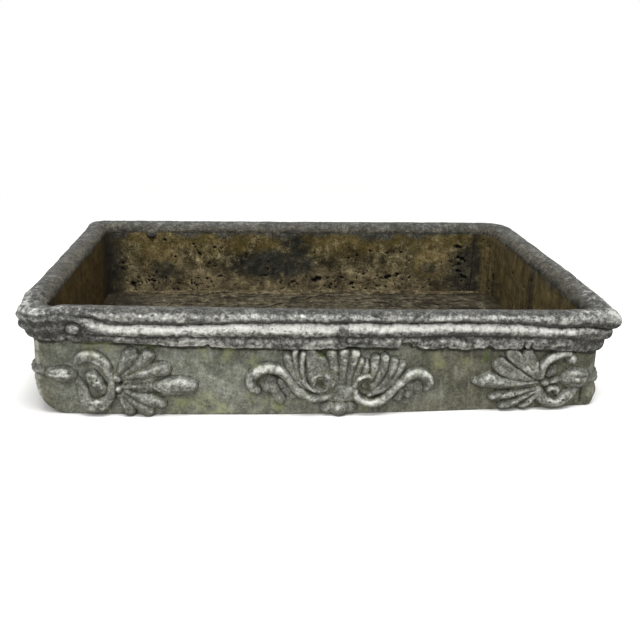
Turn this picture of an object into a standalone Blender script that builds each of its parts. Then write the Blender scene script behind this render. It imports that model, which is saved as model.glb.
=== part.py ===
# Shallow rectangular garden planter with a moulded rim and applied foliate ornaments.
# Units are metres. +X runs along the length, +Y to the back, +Z up, origin under the middle of the base.

import math

import bmesh
import bpy
from mathutils import Matrix, Vector

# Box of the planter
RIM_LENGTH = 0.516
RIM_WIDTH = 0.318
HEIGHT = 0.099
WALL = 0.010
BASE_THICKNESS = 0.012
CORNER_RADIUS = 0.008
JOINT_GAP = 0.0003

# Rim moulding: a cap on the walls with an apron of roll, bead and fillet outside them
OVERHANG = 0.0125
CAP_THICKNESS = 0.012
RIM_DROP = 0.0355
INNER_ARRIS = 0.0070
ROLL_RADIUS = 0.0064
BEAD_RADIUS = 0.0061
BEAD_STEP = 0.0022
GROOVE = 0.0006
FILLET_STEP = 0.0048
FILLET_RAKE = 0.0015
CORNER_BLOCK = 0.045
MIDDLE_JOINT = 0.008
MIDDLE_JOINT_SWELL = 0.0008
MIDDLE_JOINT_X = 0.0135

# Drainage
DRAIN_DIAMETER = 0.018
DRAIN_FROM_END = 0.1155

# Settled shape of an old trough: the long walls belly, and along the front the right-hand end has
# sunk and the left-hand end has risen, most of all at the waist under the rim
RIM_BELLY = 0.006
FRONT_FOOT_BELLY = 0.0105
BACK_FOOT_BELLY = 0.007
RIM_END_DROP = 0.0035
WAIST_END_DROP = 0.0080

# Field that the ornaments fill, between the ground and the rim
FIELD_FOOT = 0.002
FIELD_HEAD = 0.001

# Palmette with its ring and bud, near each end of every wall
PALMETTE_REACH = 0.064
PALMETTE_INSET_FRONT_LEFT = 0.070
PALMETTE_INSET_FRONT_RIGHT = 0.058
PALMETTE_INSET = 0.066
PALMETTE_BED = 0.0045
PETAL_RELIEF = 0.0075
PETAL_WIDTH = 0.0155
LEAD_PETAL_WIDTH = 0.0180
RING_HALF_WIDTH = 0.0165
RING_SECTION = 0.0042
BUD_RADIUS = 0.0085
END_TIPS_APART = 0.033

# Crest in the middle of the long walls
CREST_X = 0.0135
CREST_CLEARANCE = 0.021
CREST_RELIEF = 0.0085
FLUTE_WIDTH = 0.0150
COLLAR_WIDTH = 0.024
KNOP_WIDTH = 0.030

# Husk that wraps each corner
HUSK_HEIGHT = 0.018
HUSK_RELIEF = 0.007
HUSK_FROM_CORNER = 0.003
HUSK_CLEARANCE = 0.0015
CORNER_BEAD = 0.0062

# Domed plug high on the inner face of the back wall
STUD_RADIUS = 0.0032
STUD_FROM_END = 0.0535
STUD_BELOW_RIM = 0.0045

# Cuts run past the face they meet by this much
OVERRUN = 0.020

# Facets
ARC_STEPS = 4
MOULDING_STEPS = 4
LENGTH_STATIONS = 14
BALL_SEGMENTS = 8
BALL_RINGS = 5
RING_STEPS = 9
TUBE_STEPS = 2
TUBE_SIDES_RESOLUTION = 1
DRAIN_SIDES = 12
MOULDING_TURN = 75
FLAT_ANGLE = 1
SMOOTH_ANGLE = 40

# Worked-out sizes
wall_length = RIM_LENGTH - 2 * OVERHANG
wall_width = RIM_WIDTH - 2 * OVERHANG
wall_top = HEIGHT - CAP_THICKNESS - JOINT_GAP
inner_x = wall_length / 2 - WALL
inner_y = wall_width / 2 - WALL
rim_band = WALL + OVERHANG
field_top = HEIGHT - RIM_DROP - FIELD_HEAD
field_middle = (field_top + FIELD_FOOT) / 2
field_half = (field_top - FIELD_FOOT) / 2
waist_share = 1 - RIM_DROP / HEIGHT
ring_reach = 2 * RING_HALF_WIDTH + RING_SECTION
crest_half = wall_length / 2 - PALMETTE_INSET - PALMETTE_REACH - CREST_X - CREST_CLEARANCE
end_reach = (wall_width - END_TIPS_APART) / 2 - PALMETTE_INSET
weld_distance = JOINT_GAP / 30

# Petals of one palmette, as shares of its reach and of half the field, from the lowest to the highest
PETAL_TIP_SHARES = (
    (0.19, -0.98),
    (0.49, -0.92),
    (0.72, -0.52),
    (1.00, 0.00),
    (0.72, 0.52),
    (0.49, 0.92),
    (0.19, 0.98),
)
LEAD_PETAL = 3
ROOT_NARROWING_SHARE = 0.45

# Flutes of the crest's fan, as shares of the fan's half width and of the field's height
CREST_FAN_SHARE = 0.617
FLUTE_TIP_SHARES = (
    (-1.00, 0.86),
    (-0.66, 0.96),
    (-0.34, 0.97),
    (0.00, 0.99),
    (0.34, 0.97),
    (0.66, 0.96),
    (1.00, 0.86),
)
FLUTE_ROOT_SHARE = 0.40

# Centre line of one side scroll, as shares of the way from inside the collar to the crest's end and of
# the field's height
SCROLL_SHARES = (
    (0.04, 0.36),
    (0.17, 0.20),
    (0.345, 0.20),
    (0.51, 0.38),
    (0.64, 0.58),
    (0.78, 0.71),
    (0.925, 0.60),
    (0.90, 0.41),
    (0.815, 0.42),
)
VOLUTE_SHARES = (0.19, 0.50)
SCROLL_SECTION_SHARE = 0.0642
VOLUTE_RADIUS_SHARE = 0.105
COLLAR_SHARES = (0.22, 0.42)
KNOP_HEIGHT_SHARE = 0.18

# Outward directions of the four walls, as turns about Z from the front
FACE_TURNS = {
    "front": 0.0,
    "right": math.pi / 2,
    "back": math.pi,
    "left": -math.pi / 2,
}

# Colour, roughness and metallic of each finish
FINISHES = {
    "wall_stone": ((0.155, 0.165, 0.135), 0.88, 0.0),
    "base_stone": ((0.105, 0.085, 0.055), 0.92, 0.0),
    "rim_stone": ((0.240, 0.240, 0.225), 0.80, 0.0),
    "joint_mortar": ((0.200, 0.195, 0.175), 0.90, 0.0),
    "ornament_stone": ((0.300, 0.305, 0.280), 0.82, 0.0),
    "plug_mortar": ((0.110, 0.095, 0.070), 0.90, 0.0),
}


def clear_scene():
    for item in list(bpy.data.objects):
        bpy.data.objects.remove(item, do_unlink=True)


def collection_named(name):
    group = bpy.data.collections.new(name)
    bpy.context.scene.collection.children.link(group)
    return group


def finish_named(name):
    if name in bpy.data.materials:
        return bpy.data.materials[name]
    colour, roughness, metallic = FINISHES[name]
    material = bpy.data.materials.new(name)
    material.use_nodes = True
    shader = material.node_tree.nodes["Principled BSDF"]
    shader.inputs["Base Color"].default_value = (*colour, 1.0)
    shader.inputs["Roughness"].default_value = roughness
    shader.inputs["Metallic"].default_value = metallic
    material.diffuse_color = (*colour, 1.0)
    return material


def evaluated_mesh(item):
    """A plain mesh of an object as its modifiers or its curve make it, in world space."""
    graph = bpy.context.evaluated_depsgraph_get()
    mesh = bpy.data.meshes.new_from_object(item.evaluated_get(graph))
    mesh.transform(item.matrix_world)
    return mesh


def end_drop(across, height):
    """How far the right-hand end has sunk: all of it along the front, none along the back."""
    share = height / HEIGHT
    curve = (RIM_END_DROP - WAIST_END_DROP / waist_share) / (1 - waist_share)
    drop = share * (RIM_END_DROP - curve + curve * share)
    return drop * (0.5 - across / RIM_WIDTH)


def settled(point):
    """Where a point of the new planter lies now that the walls have bellied and one end has sunk."""
    along = 2 * point.x / RIM_LENGTH
    foot_belly = FRONT_FOOT_BELLY if point.y < 0 else BACK_FOOT_BELLY
    belly = foot_belly + (RIM_BELLY - foot_belly) * point.z / HEIGHT
    outward = max(-1, min(1, point.y / inner_y))
    shift = belly * outward * (1 - along * along)
    return Vector((point.x, point.y + shift, point.z - along * end_drop(point.y, point.z)))


def add_piece(name, mesh, finish):
    """Cut a finished mesh at common stations, closest near the ends, settle it and put it in the planter."""
    shape = bmesh.new()
    shape.from_mesh(mesh)
    bmesh.ops.remove_doubles(shape, verts=shape.verts, dist=weld_distance)
    for index in range(1, LENGTH_STATIONS):
        station = RIM_LENGTH / 2 * math.sin(math.pi * (index / LENGTH_STATIONS - 0.5))
        geometry = list(shape.verts) + list(shape.edges) + list(shape.faces)
        bmesh.ops.bisect_plane(shape, geom=geometry, dist=weld_distance, plane_co=(station, 0, 0),
                               plane_no=(1, 0, 0))
    for vertex in shape.verts:
        vertex.co = settled(vertex.co)
    bmesh.ops.recalc_face_normals(shape, faces=shape.faces)
    shape.to_mesh(mesh)
    shape.free()
    mesh.name = name
    mesh.shade_smooth()
    mesh.set_sharp_from_angle(angle=math.radians(SMOOTH_ANGLE))
    mesh.materials.clear()
    mesh.materials.append(finish_named(finish))
    planter.objects.link(bpy.data.objects.new(name, mesh))


def arc(centre, radius, start, end, steps):
    """Points of an arc in a plane, from one angle to another in degrees."""
    points = []
    for index in range(steps + 1):
        angle = math.radians(start + (end - start) * index / steps)
        points.append((centre[0] + radius * math.cos(angle), centre[1] + radius * math.sin(angle)))
    return points


def with_flat_faces_joined(mesh):
    """Weld a mesh's loose caps and join the triangles of each flat face."""
    shape = bmesh.new()
    shape.from_mesh(mesh)
    bmesh.ops.remove_doubles(shape, verts=shape.verts, dist=weld_distance)
    flat = math.radians(FLAT_ANGLE)
    bmesh.ops.dissolve_limit(shape, angle_limit=flat, verts=shape.verts, edges=shape.edges)
    shape.to_mesh(mesh)
    shape.free()
    return mesh


def extruded_mesh(outline, low, high):
    """A flat outline made solid between two heights."""
    curve = bpy.data.curves.new("outline", "CURVE")
    curve.dimensions = "2D"
    curve.fill_mode = "BOTH"
    curve.extrude = (high - low) / 2
    spline = curve.splines.new("POLY")
    spline.points.add(len(outline) - 1)
    for point, place in zip(spline.points, outline):
        point.co = (place[0], place[1], 0, 1)
    spline.use_cyclic_u = True
    item = bpy.data.objects.new("outline", curve)
    helpers.objects.link(item)
    item.location.z = (low + high) / 2
    bpy.context.view_layer.update()
    mesh = evaluated_mesh(item)
    bpy.data.objects.remove(item)
    bpy.data.curves.remove(curve)
    return with_flat_faces_joined(mesh)


def long_wall_outline(side):
    """Plan of a long wall whose outer corners are rounded. side is -1 at the front and 1 at the back."""
    half = wall_length / 2
    bend = half - CORNER_RADIUS
    outer = wall_width / 2 - CORNER_RADIUS
    points = [(-half, inner_y), (half, inner_y)]
    points += arc((bend, outer), CORNER_RADIUS, 0, 90, ARC_STEPS)
    points += arc((-bend, outer), CORNER_RADIUS, 90, 180, ARC_STEPS)
    return [(x, side * y) for x, y in points]


def make_walls():
    for name, side in (("front_wall", -1), ("back_wall", 1)):
        mesh = extruded_mesh(long_wall_outline(side), 0, wall_top)
        add_piece(name, mesh, "wall_stone")
    reach = inner_y - JOINT_GAP
    for name, side in (("left_wall", -1), ("right_wall", 1)):
        near = side * inner_x
        far = side * wall_length / 2
        mesh = extruded_mesh([(near, -reach), (far, -reach), (far, reach), (near, reach)], 0, wall_top)
        add_piece(name, mesh, "wall_stone")


def make_base():
    half_x = inner_x - JOINT_GAP
    half_y = inner_y - JOINT_GAP
    slab = [(-half_x, -half_y), (half_x, -half_y), (half_x, half_y), (-half_x, half_y)]
    drains = []
    for side in (-1, 1):
        middle = (side * (inner_x - DRAIN_FROM_END), 0)
        hole = arc(middle, DRAIN_DIAMETER / 2, 0, 360 - 360 / DRAIN_SIDES, DRAIN_SIDES - 1)
        drains.append(helper_object(extruded_mesh(hole, -OVERRUN, BASE_THICKNESS + OVERRUN)))
    body = helper_object(extruded_mesh(slab, 0, BASE_THICKNESS))
    add_piece("base_slab", fused_mesh([body], drains), "base_stone")


def make_corner_seams():
    """Hollow fillets of mortar up the four inside corners, with a foot edge all the way to the walls."""
    toe = CORNER_RADIUS
    for name_y, side_y in (("front", -1), ("back", 1)):
        for name_x, side_x in (("left", -1), ("right", 1)):
            outline = [(JOINT_GAP, JOINT_GAP), (toe, JOINT_GAP)]
            outline += arc((toe, toe), CORNER_RADIUS - JOINT_GAP, 270, 180, ARC_STEPS)[1:-1]
            outline += [(JOINT_GAP, toe)]
            plan = [(side_x * (inner_x - x), side_y * (inner_y - y)) for x, y in outline]
            mesh = extruded_mesh(plan, BASE_THICKNESS + JOINT_GAP, wall_top)
            add_piece("seam_%s_%s" % (name_y, name_x), mesh, "joint_mortar")


def rim_profile(swell=0.0):
    """Section of the rim as (distance out from the inner face, height), round from the inner foot."""
    out = rim_band + swell
    roll = arc((out - ROLL_RADIUS, HEIGHT - ROLL_RADIUS), ROLL_RADIUS, 90, -MOULDING_TURN, MOULDING_STEPS + 1)
    bead_top = roll[-1][1] - GROOVE
    bead_half = BEAD_RADIUS * math.sin(math.radians(MOULDING_TURN))
    bead_centre = (out - BEAD_STEP - BEAD_RADIUS, bead_top - bead_half)
    bead = arc(bead_centre, BEAD_RADIUS, MOULDING_TURN, -MOULDING_TURN, MOULDING_STEPS)
    fillet_top = (out - FILLET_STEP, bead[-1][1] - GROOVE)
    fillet_foot = (out - FILLET_STEP - FILLET_RAKE, HEIGHT - RIM_DROP)
    cap_foot = HEIGHT - CAP_THICKNESS
    apron_back = WALL + JOINT_GAP
    points = [(0, cap_foot)]
    points += arc((INNER_ARRIS, HEIGHT - INNER_ARRIS), INNER_ARRIS, 180, 90, MOULDING_STEPS - 1)
    points += roll + bead + [fillet_top, fillet_foot]
    points += [(apron_back, HEIGHT - RIM_DROP), (apron_back, cap_foot)]
    return points


def loft_mesh(sections):
    """A solid through matching closed sections, capped at both ends."""
    shape = bmesh.new()
    rings = [[shape.verts.new(point) for point in section] for section in sections]
    count = len(rings[0])
    for first, second in zip(rings, rings[1:]):
        for index in range(count):
            following = (index + 1) % count
            shape.faces.new((first[index], first[following], second[following], second[index]))
    shape.faces.new(rings[0])
    shape.faces.new(list(reversed(rings[-1])))
    mesh = bpy.data.meshes.new("loft")
    shape.to_mesh(mesh)
    shape.free()
    return mesh


def straight_rim(name, turn, inner_face, start, end, finish="rim_stone", swell=0.0):
    """A straight length of rim over one wall, from start to end as that wall is seen from outside."""
    rotation = Matrix.Rotation(turn, 4, "Z")
    sections = []
    for along in (start, end):
        section = []
        for out, height in rim_profile(swell):
            section.append(rotation @ Vector((along, -inner_face - out, height)))
        sections.append(section)
    add_piece(name, loft_mesh(sections), finish)


def corner_rim(name, side_x, side_y):
    """A rim block that turns one corner with the same moulding."""
    arm_x = RIM_LENGTH / 2 - CORNER_BLOCK
    arm_y = RIM_WIDTH / 2 - CORNER_BLOCK
    sections = []
    profile = rim_profile()
    sections.append([(side_x * arm_x, side_y * (inner_y + out), height) for out, height in profile])
    for index in range(ARC_STEPS + 1):
        angle = math.radians(90 - 90 * index / ARC_STEPS)
        section = []
        for out, height in profile:
            x = inner_x + out - CORNER_RADIUS + CORNER_RADIUS * math.cos(angle)
            y = inner_y + out - CORNER_RADIUS + CORNER_RADIUS * math.sin(angle)
            section.append((side_x * x, side_y * y, height))
        sections.append(section)
    sections.append([(side_x * (inner_x + out), side_y * arm_y, height) for out, height in profile])
    add_piece(name, loft_mesh(sections), "rim_stone")


def make_rim():
    for name_y, side_y in (("front", -1), ("back", 1)):
        for name_x, side_x in (("left", -1), ("right", 1)):
            corner_rim("rim_corner_%s_%s" % (name_y, name_x), side_x, side_y)
    long_reach = RIM_LENGTH / 2 - CORNER_BLOCK - JOINT_GAP
    short_reach = RIM_WIDTH / 2 - CORNER_BLOCK - JOINT_GAP
    half_joint = MIDDLE_JOINT / 2
    for face, sides in (("front", ("left", "right")), ("back", ("right", "left"))):
        turn = FACE_TURNS[face]
        middle = MIDDLE_JOINT_X
        straight_rim("rim_%s_%s" % (face, sides[0]), turn, inner_y, -long_reach,
                     middle - half_joint - JOINT_GAP)
        straight_rim("rim_%s_%s" % (face, sides[1]), turn, inner_y, middle + half_joint + JOINT_GAP,
                     long_reach)
        straight_rim("rim_joint_" + face, turn, inner_y, middle - half_joint, middle + half_joint,
                     "joint_mortar", MIDDLE_JOINT_SWELL)
    for face in ("left", "right"):
        straight_rim("rim_" + face, FACE_TURNS[face], inner_x, -short_reach, short_reach)


def helper_object(mesh):
    item = bpy.data.objects.new("helper", mesh)
    helpers.objects.link(item)
    item.hide_render = True
    item.display_type = "WIRE"
    return item


def ball(centre, half_sizes, turn=0.0, narrow=0.0):
    """A rounded lobe on the wall plane at (along, height), turned in that plane, narrower at its root."""
    shape = bmesh.new()
    bmesh.ops.create_uvsphere(shape, u_segments=BALL_SEGMENTS, v_segments=BALL_RINGS, radius=1)
    for vertex in shape.verts:
        poles = Vector((vertex.co.z, vertex.co.x, vertex.co.y))
        taper = 1 - narrow * (1 - poles.x) / 2
        vertex.co = Vector((poles.x * half_sizes[0], poles.y * half_sizes[1] * taper,
                            poles.z * half_sizes[2] * taper))
    place = Matrix.Translation((centre[0], 0, centre[1])) @ Matrix.Rotation(-turn, 4, "Y")
    bmesh.ops.transform(shape, matrix=place, verts=shape.verts)
    bmesh.ops.recalc_face_normals(shape, faces=shape.faces)
    mesh = bpy.data.meshes.new("lobe")
    shape.to_mesh(mesh)
    shape.free()
    return helper_object(mesh)


def leaf(root, tip, width, relief, narrow):
    """A lobe stretched from its root to its tip on the wall plane."""
    along = tip[0] - root[0]
    rise = tip[1] - root[1]
    centre = ((root[0] + tip[0]) / 2, (root[1] + tip[1]) / 2)
    size = (math.hypot(along, rise) / 2, relief, width / 2)
    return ball(centre, size, math.atan2(rise, along), narrow)


def tube(points, radius, closed=False):
    """A bar of round section on a smooth line through points of the wall plane."""
    curve = bpy.data.curves.new("bar", "CURVE")
    curve.dimensions = "3D"
    curve.bevel_depth = radius
    curve.bevel_resolution = TUBE_SIDES_RESOLUTION
    curve.use_fill_caps = not closed
    curve.resolution_u = TUBE_STEPS
    spline = curve.splines.new("BEZIER")
    spline.bezier_points.add(len(points) - 1)
    for point, place in zip(spline.bezier_points, points):
        point.co = (place[0], 0, place[1])
        point.handle_left_type = "AUTO"
        point.handle_right_type = "AUTO"
    spline.use_cyclic_u = closed
    item = bpy.data.objects.new("bar", curve)
    helpers.objects.link(item)
    bpy.context.view_layer.update()
    mesh = evaluated_mesh(item)
    bpy.data.objects.remove(item)
    bpy.data.curves.remove(curve)
    shape = bmesh.new()
    shape.from_mesh(mesh)
    bmesh.ops.remove_doubles(shape, verts=shape.verts, dist=weld_distance)
    bmesh.ops.recalc_face_normals(shape, faces=shape.faces)
    shape.to_mesh(mesh)
    shape.free()
    return helper_object(mesh)


def wall_block(reach_along, reach_up):
    """What lies behind the wall face, for cutting an ornament's back flat."""
    shape = bmesh.new()
    bmesh.ops.create_cube(shape, size=1)
    size = Matrix.Diagonal((2 * reach_along, OVERRUN, 2 * reach_up, 1))
    place = Matrix.Translation((0, OVERRUN / 2 - JOINT_GAP, 0))
    bmesh.ops.transform(shape, matrix=place @ size, verts=shape.verts)
    mesh = bpy.data.meshes.new("wall_block")
    shape.to_mesh(mesh)
    shape.free()
    return helper_object(mesh)


def fused_mesh(lobes, cutters):
    """Overlapping lobes joined to one body and cut by the cutters. The lobes are used up."""
    bpy.context.view_layer.update()
    body = lobes[0]
    group = bpy.data.collections.new("lobes")
    helpers.children.link(group)
    for item in lobes[1:]:
        helpers.objects.unlink(item)
        group.objects.link(item)
    if group.objects:
        union = body.modifiers.new("union", "BOOLEAN")
        union.operation = "UNION"
        union.operand_type = "COLLECTION"
        union.collection = group
        union.solver = "EXACT"
    for cutter in cutters:
        cut = body.modifiers.new("cut", "BOOLEAN")
        cut.operation = "DIFFERENCE"
        cut.object = cutter
        cut.solver = "EXACT"
    bpy.context.view_layer.update()
    mesh = evaluated_mesh(body)
    for item in lobes + cutters:
        bpy.data.objects.remove(item)
    bpy.data.collections.remove(group)
    return mesh


def palmette_mesh(reach):
    """Palmette whose petals point along +X from its root at the origin, with ring and bud behind it."""
    lobes = [leaf((-BUD_RADIUS / 2, 0), (reach / 2, 0), field_half, PALMETTE_BED, 0)]
    for index, (along, up) in enumerate(PETAL_TIP_SHARES):
        width = LEAD_PETAL_WIDTH if index == LEAD_PETAL else PETAL_WIDTH
        root = (0, up * PETAL_WIDTH / 2)
        tip = (reach * along, field_half * up)
        lobes.append(leaf(root, tip, width, PETAL_RELIEF, ROOT_NARROWING_SHARE))
    ring = []
    for index in range(RING_STEPS):
        angle = math.tau * index / RING_STEPS
        ring.append((RING_HALF_WIDTH * (math.cos(angle) - 1), (field_half - RING_SECTION) * math.sin(angle)))
    lobes.append(tube(ring, RING_SECTION, closed=True))
    lobes.append(ball((-RING_HALF_WIDTH, 0), (BUD_RADIUS, PETAL_RELIEF, BUD_RADIUS)))
    lobes.append(leaf((-2 * RING_HALF_WIDTH, 0), (0, 0), 2 * RING_SECTION, PALMETTE_BED, 0))
    return fused_mesh(lobes, [wall_block(reach + ring_reach + OVERRUN, HEIGHT)])


def crest_mesh():
    """Crest of a fluted fan between two side scrolls over a collar and knop, its axis at the origin."""
    height = field_top - FIELD_FOOT
    collar_low = FIELD_FOOT + height * COLLAR_SHARES[0]
    collar_high = FIELD_FOOT + height * COLLAR_SHARES[1]
    lobes = [leaf((0, collar_low), (0, collar_high), COLLAR_WIDTH, CREST_RELIEF, 0)]
    knop_top = FIELD_FOOT + height * KNOP_HEIGHT_SHARE
    knop_middle = (FIELD_FOOT + knop_top) / 2
    knop_half = (knop_top - FIELD_FOOT) / 2
    lobes.append(ball((0, knop_middle), (KNOP_WIDTH / 2, CREST_RELIEF, knop_half)))
    lobes.append(leaf((0, knop_middle), (0, field_middle), COLLAR_WIDTH / 2, PALMETTE_BED, 0))
    root = (0, FIELD_FOOT + height * FLUTE_ROOT_SHARE)
    for along, up in FLUTE_TIP_SHARES:
        tip = (crest_half * CREST_FAN_SHARE * along, FIELD_FOOT + height * up)
        lobes.append(leaf(root, tip, FLUTE_WIDTH, CREST_RELIEF, ROOT_NARROWING_SHARE))
    section = crest_half * SCROLL_SECTION_SHARE
    volute_radius = crest_half * VOLUTE_RADIUS_SHARE
    scroll_root = COLLAR_WIDTH / 2 - section
    for side in (-1, 1):
        line = []
        for along, up in SCROLL_SHARES + (VOLUTE_SHARES,):
            reach = scroll_root + (crest_half - scroll_root) * along
            line.append((side * reach, FIELD_FOOT + height * up))
        volute = line.pop()
        lobes.append(tube(line, section))
        lobes.append(ball(volute, (volute_radius, CREST_RELIEF, volute_radius)))
    return fused_mesh(lobes, [wall_block(crest_half + OVERRUN, HEIGHT)])


def placed(mesh, along, up, hand, face):
    """Set a front-facing ornament on one of the four walls, mirrored for the right hand."""
    outer = wall_width / 2 if face in ("front", "back") else wall_length / 2
    mirror = Matrix.Scale(hand, 4, (1, 0, 0))
    place = Matrix.Translation((along, -outer, up))
    mesh.transform(Matrix.Rotation(FACE_TURNS[face], 4, "Z") @ place @ mirror)
    return mesh


def palmette_inset(face, hand):
    """How far a palmette's root stands from its corner. hand is 1 on the left of a face, -1 on its right."""
    if face == "front":
        return PALMETTE_INSET_FRONT_LEFT if hand == 1 else PALMETTE_INSET_FRONT_RIGHT
    return PALMETTE_INSET


def make_palmettes():
    for face in FACE_TURNS:
        long_face = face in ("front", "back")
        half = wall_length / 2 if long_face else wall_width / 2
        reach = PALMETTE_REACH if long_face else end_reach
        for side, hand in (("a", 1), ("b", -1)):
            root = -hand * (half - palmette_inset(face, hand))
            mesh = placed(palmette_mesh(reach), root, field_middle, hand, face)
            add_piece("palmette_%s_%s" % (face, side), mesh, "ornament_stone")


def make_crests():
    for face in ("front", "back"):
        mesh = placed(crest_mesh(), CREST_X, 0, 1, face)
        add_piece("crest_" + face, mesh, "ornament_stone")


def corner_block(side_x, side_y):
    """The walls' rounded corner, for cutting a husk that wraps it."""
    half_x = wall_length / 2 + JOINT_GAP
    half_y = wall_width / 2 + JOINT_GAP
    inner = PALMETTE_INSET + OVERRUN
    radius = CORNER_RADIUS
    outline = [(half_x - inner, half_y - inner), (half_x, half_y - inner)]
    outline += arc((half_x - radius, half_y - radius), radius, 0, 90, ARC_STEPS)
    outline += [(half_x - inner, half_y)]
    plan = [(side_x * x, side_y * y) for x, y in outline]
    return helper_object(extruded_mesh(plan, 0, HEIGHT))


def husk_lobe(inset):
    """One husk that fills the wall between a corner and the ring of its palmette, and its middle."""
    length = inset - ring_reach - HUSK_FROM_CORNER - HUSK_CLEARANCE
    item = ball((0, field_middle), (length / 2, HUSK_RELIEF, HUSK_HEIGHT / 2))
    return item, HUSK_FROM_CORNER + length / 2


def make_husks():
    """A seed husk on each face of a corner, joined by a bead on the arris, as one piece."""
    half_x = wall_length / 2
    half_y = wall_width / 2
    for name_y, side_y in (("front", -1), ("back", 1)):
        for name_x, side_x in (("left", -1), ("right", 1)):
            hand = side_x * side_y
            long_lobe, middle = husk_lobe(palmette_inset(name_y, hand))
            place = Matrix.Translation((side_x * (half_x - middle), side_y * half_y, 0))
            long_lobe.data.transform(place)
            end_lobe, middle = husk_lobe(palmette_inset(name_x, -hand))
            place = Matrix.Translation((side_x * half_x, side_y * (half_y - middle), 0))
            end_lobe.data.transform(place @ Matrix.Rotation(math.pi / 2, 4, "Z"))
            bead = ball((0, field_middle), (CORNER_BEAD, CORNER_BEAD, HUSK_HEIGHT / 2))
            inset = CORNER_RADIUS * (1 - math.cos(math.pi / 4))
            place = Matrix.Translation((side_x * (half_x - inset), side_y * (half_y - inset), 0))
            bead.data.transform(place)
            mesh = fused_mesh([long_lobe, end_lobe, bead], [corner_block(side_x, side_y)])
            add_piece("husk_%s_%s" % (name_y, name_x), mesh, "ornament_stone")


def make_stud():
    lobe = ball((0, 0), (STUD_RADIUS, STUD_RADIUS, STUD_RADIUS))
    mesh = fused_mesh([lobe], [wall_block(OVERRUN, OVERRUN)])
    place = Matrix.Translation((STUD_FROM_END - inner_x, inner_y, wall_top - STUD_BELOW_RIM))
    mesh.transform(place)
    add_piece("wall_stud", mesh, "plug_mortar")


clear_scene()
planter = collection_named("garden_planter")
helpers = collection_named("cutters")
make_base()
make_walls()
make_corner_seams()
make_rim()
make_palmettes()
make_crests()
make_husks()
make_stud()
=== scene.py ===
import math

import bpy
import numpy as np
from mathutils import Matrix, Vector


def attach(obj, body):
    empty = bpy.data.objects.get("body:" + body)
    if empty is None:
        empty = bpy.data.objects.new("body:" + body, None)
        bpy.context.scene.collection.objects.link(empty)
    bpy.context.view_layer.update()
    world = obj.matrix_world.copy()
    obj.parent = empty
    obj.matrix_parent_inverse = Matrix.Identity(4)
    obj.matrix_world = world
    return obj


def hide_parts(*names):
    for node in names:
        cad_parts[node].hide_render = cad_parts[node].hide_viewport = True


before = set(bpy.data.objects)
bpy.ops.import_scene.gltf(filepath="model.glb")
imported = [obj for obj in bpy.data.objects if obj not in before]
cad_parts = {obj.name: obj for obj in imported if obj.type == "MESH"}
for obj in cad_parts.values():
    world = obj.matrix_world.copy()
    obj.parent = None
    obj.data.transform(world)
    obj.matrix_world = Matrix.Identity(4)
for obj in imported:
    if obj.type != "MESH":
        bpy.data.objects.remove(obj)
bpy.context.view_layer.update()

# Weathered castings of a garden planter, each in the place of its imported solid. Lengths are metres.
MM = 0.001

# Box of the planter as it was cast, before it settled
RIM_LENGTH = 516 * MM
RIM_WIDTH = 318 * MM
HEIGHT = 99 * MM
WALL = 10 * MM
OVERHANG = 12.5 * MM
CAP_THICKNESS = 12 * MM
RIM_DROP = 35.5 * MM
CORNER_RADIUS = 8 * MM
CORNER_BLOCK = 45 * MM
MIDDLE_JOINT = 8 * MM
MIDDLE_JOINT_X = 13.5 * MM
BASE_THICKNESS = 12 * MM
DRAIN_RADIUS = 9 * MM
DRAIN_X = 120 * MM
JOINT_GAP = 0.3 * MM

# How it has settled: bellied long walls, and a right-hand end that has sunk at the front
RIM_BELLY = 6 * MM
FRONT_FOOT_BELLY = 10.5 * MM
BACK_FOOT_BELLY = 7 * MM
RIM_END_DROP = 3.5 * MM
WAIST_END_DROP = 8 * MM
RIGHT_LEAN = 7 * MM
BACK_SAG = 2 * MM

# The lean of the right end: its share at the middle of the end, and how far it takes to grow in depth and length
LEAN_SHARE = 0.2
LEAN_DEPTH = 190 * MM
LEAN_LENGTH = 220 * MM

# Worked-out places
half_x = RIM_LENGTH / 2 - OVERHANG
half_y = RIM_WIDTH / 2 - OVERHANG
inner_x = half_x - WALL
inner_y = half_y - WALL
rim_band = WALL + OVERHANG
cap_foot = HEIGHT - CAP_THICKNESS
wall_top = cap_foot - JOINT_GAP
rim_foot = HEIGHT - RIM_DROP
field_top = rim_foot - 1 * MM

# Rim section: what its mouldings stand back from its box, their depths, heights and turns in degrees, and the blocks
TOP_INSET = 1.6 * MM
OUT_INSET = 0.6 * MM
LIP_FOOT = 88.5 * MM
ROLL_DEPTH = 6.4 * MM
ROLL_TURN = 60
BEAD_DEPTH = 5.2 * MM
BEAD_STEP = 1.3 * MM
BEAD_TURN = 68
BEAD_CREST = 0.38
FILLET_STEP = 4.2 * MM
FILLET_RAKE = 1.4 * MM
FILLET_SWELL = 0.8 * MM
BLOCK_DEPTH = 7.5 * MM
BLOCK_UNDER = 4.5 * MM
CORNER_UNDER = 2 * MM
CORNER_DROP = 3.5 * MM
END_ROLL = 8.5 * MM
END_INSET = 1.7 * MM
BLOCK_RIDGE = 0.8 * MM
BLOCK_RIDGES = 3.2
BLOCK_LEAST = 1.2 * MM
BLOCK_CHALK = 0.27
GROOVE_WIDTH = 0.3 * MM
JOINT_SWELL = 0.7 * MM
LEFT_SWELL = 0.8 * MM
CORNER_SAG = 3.5 * MM

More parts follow.
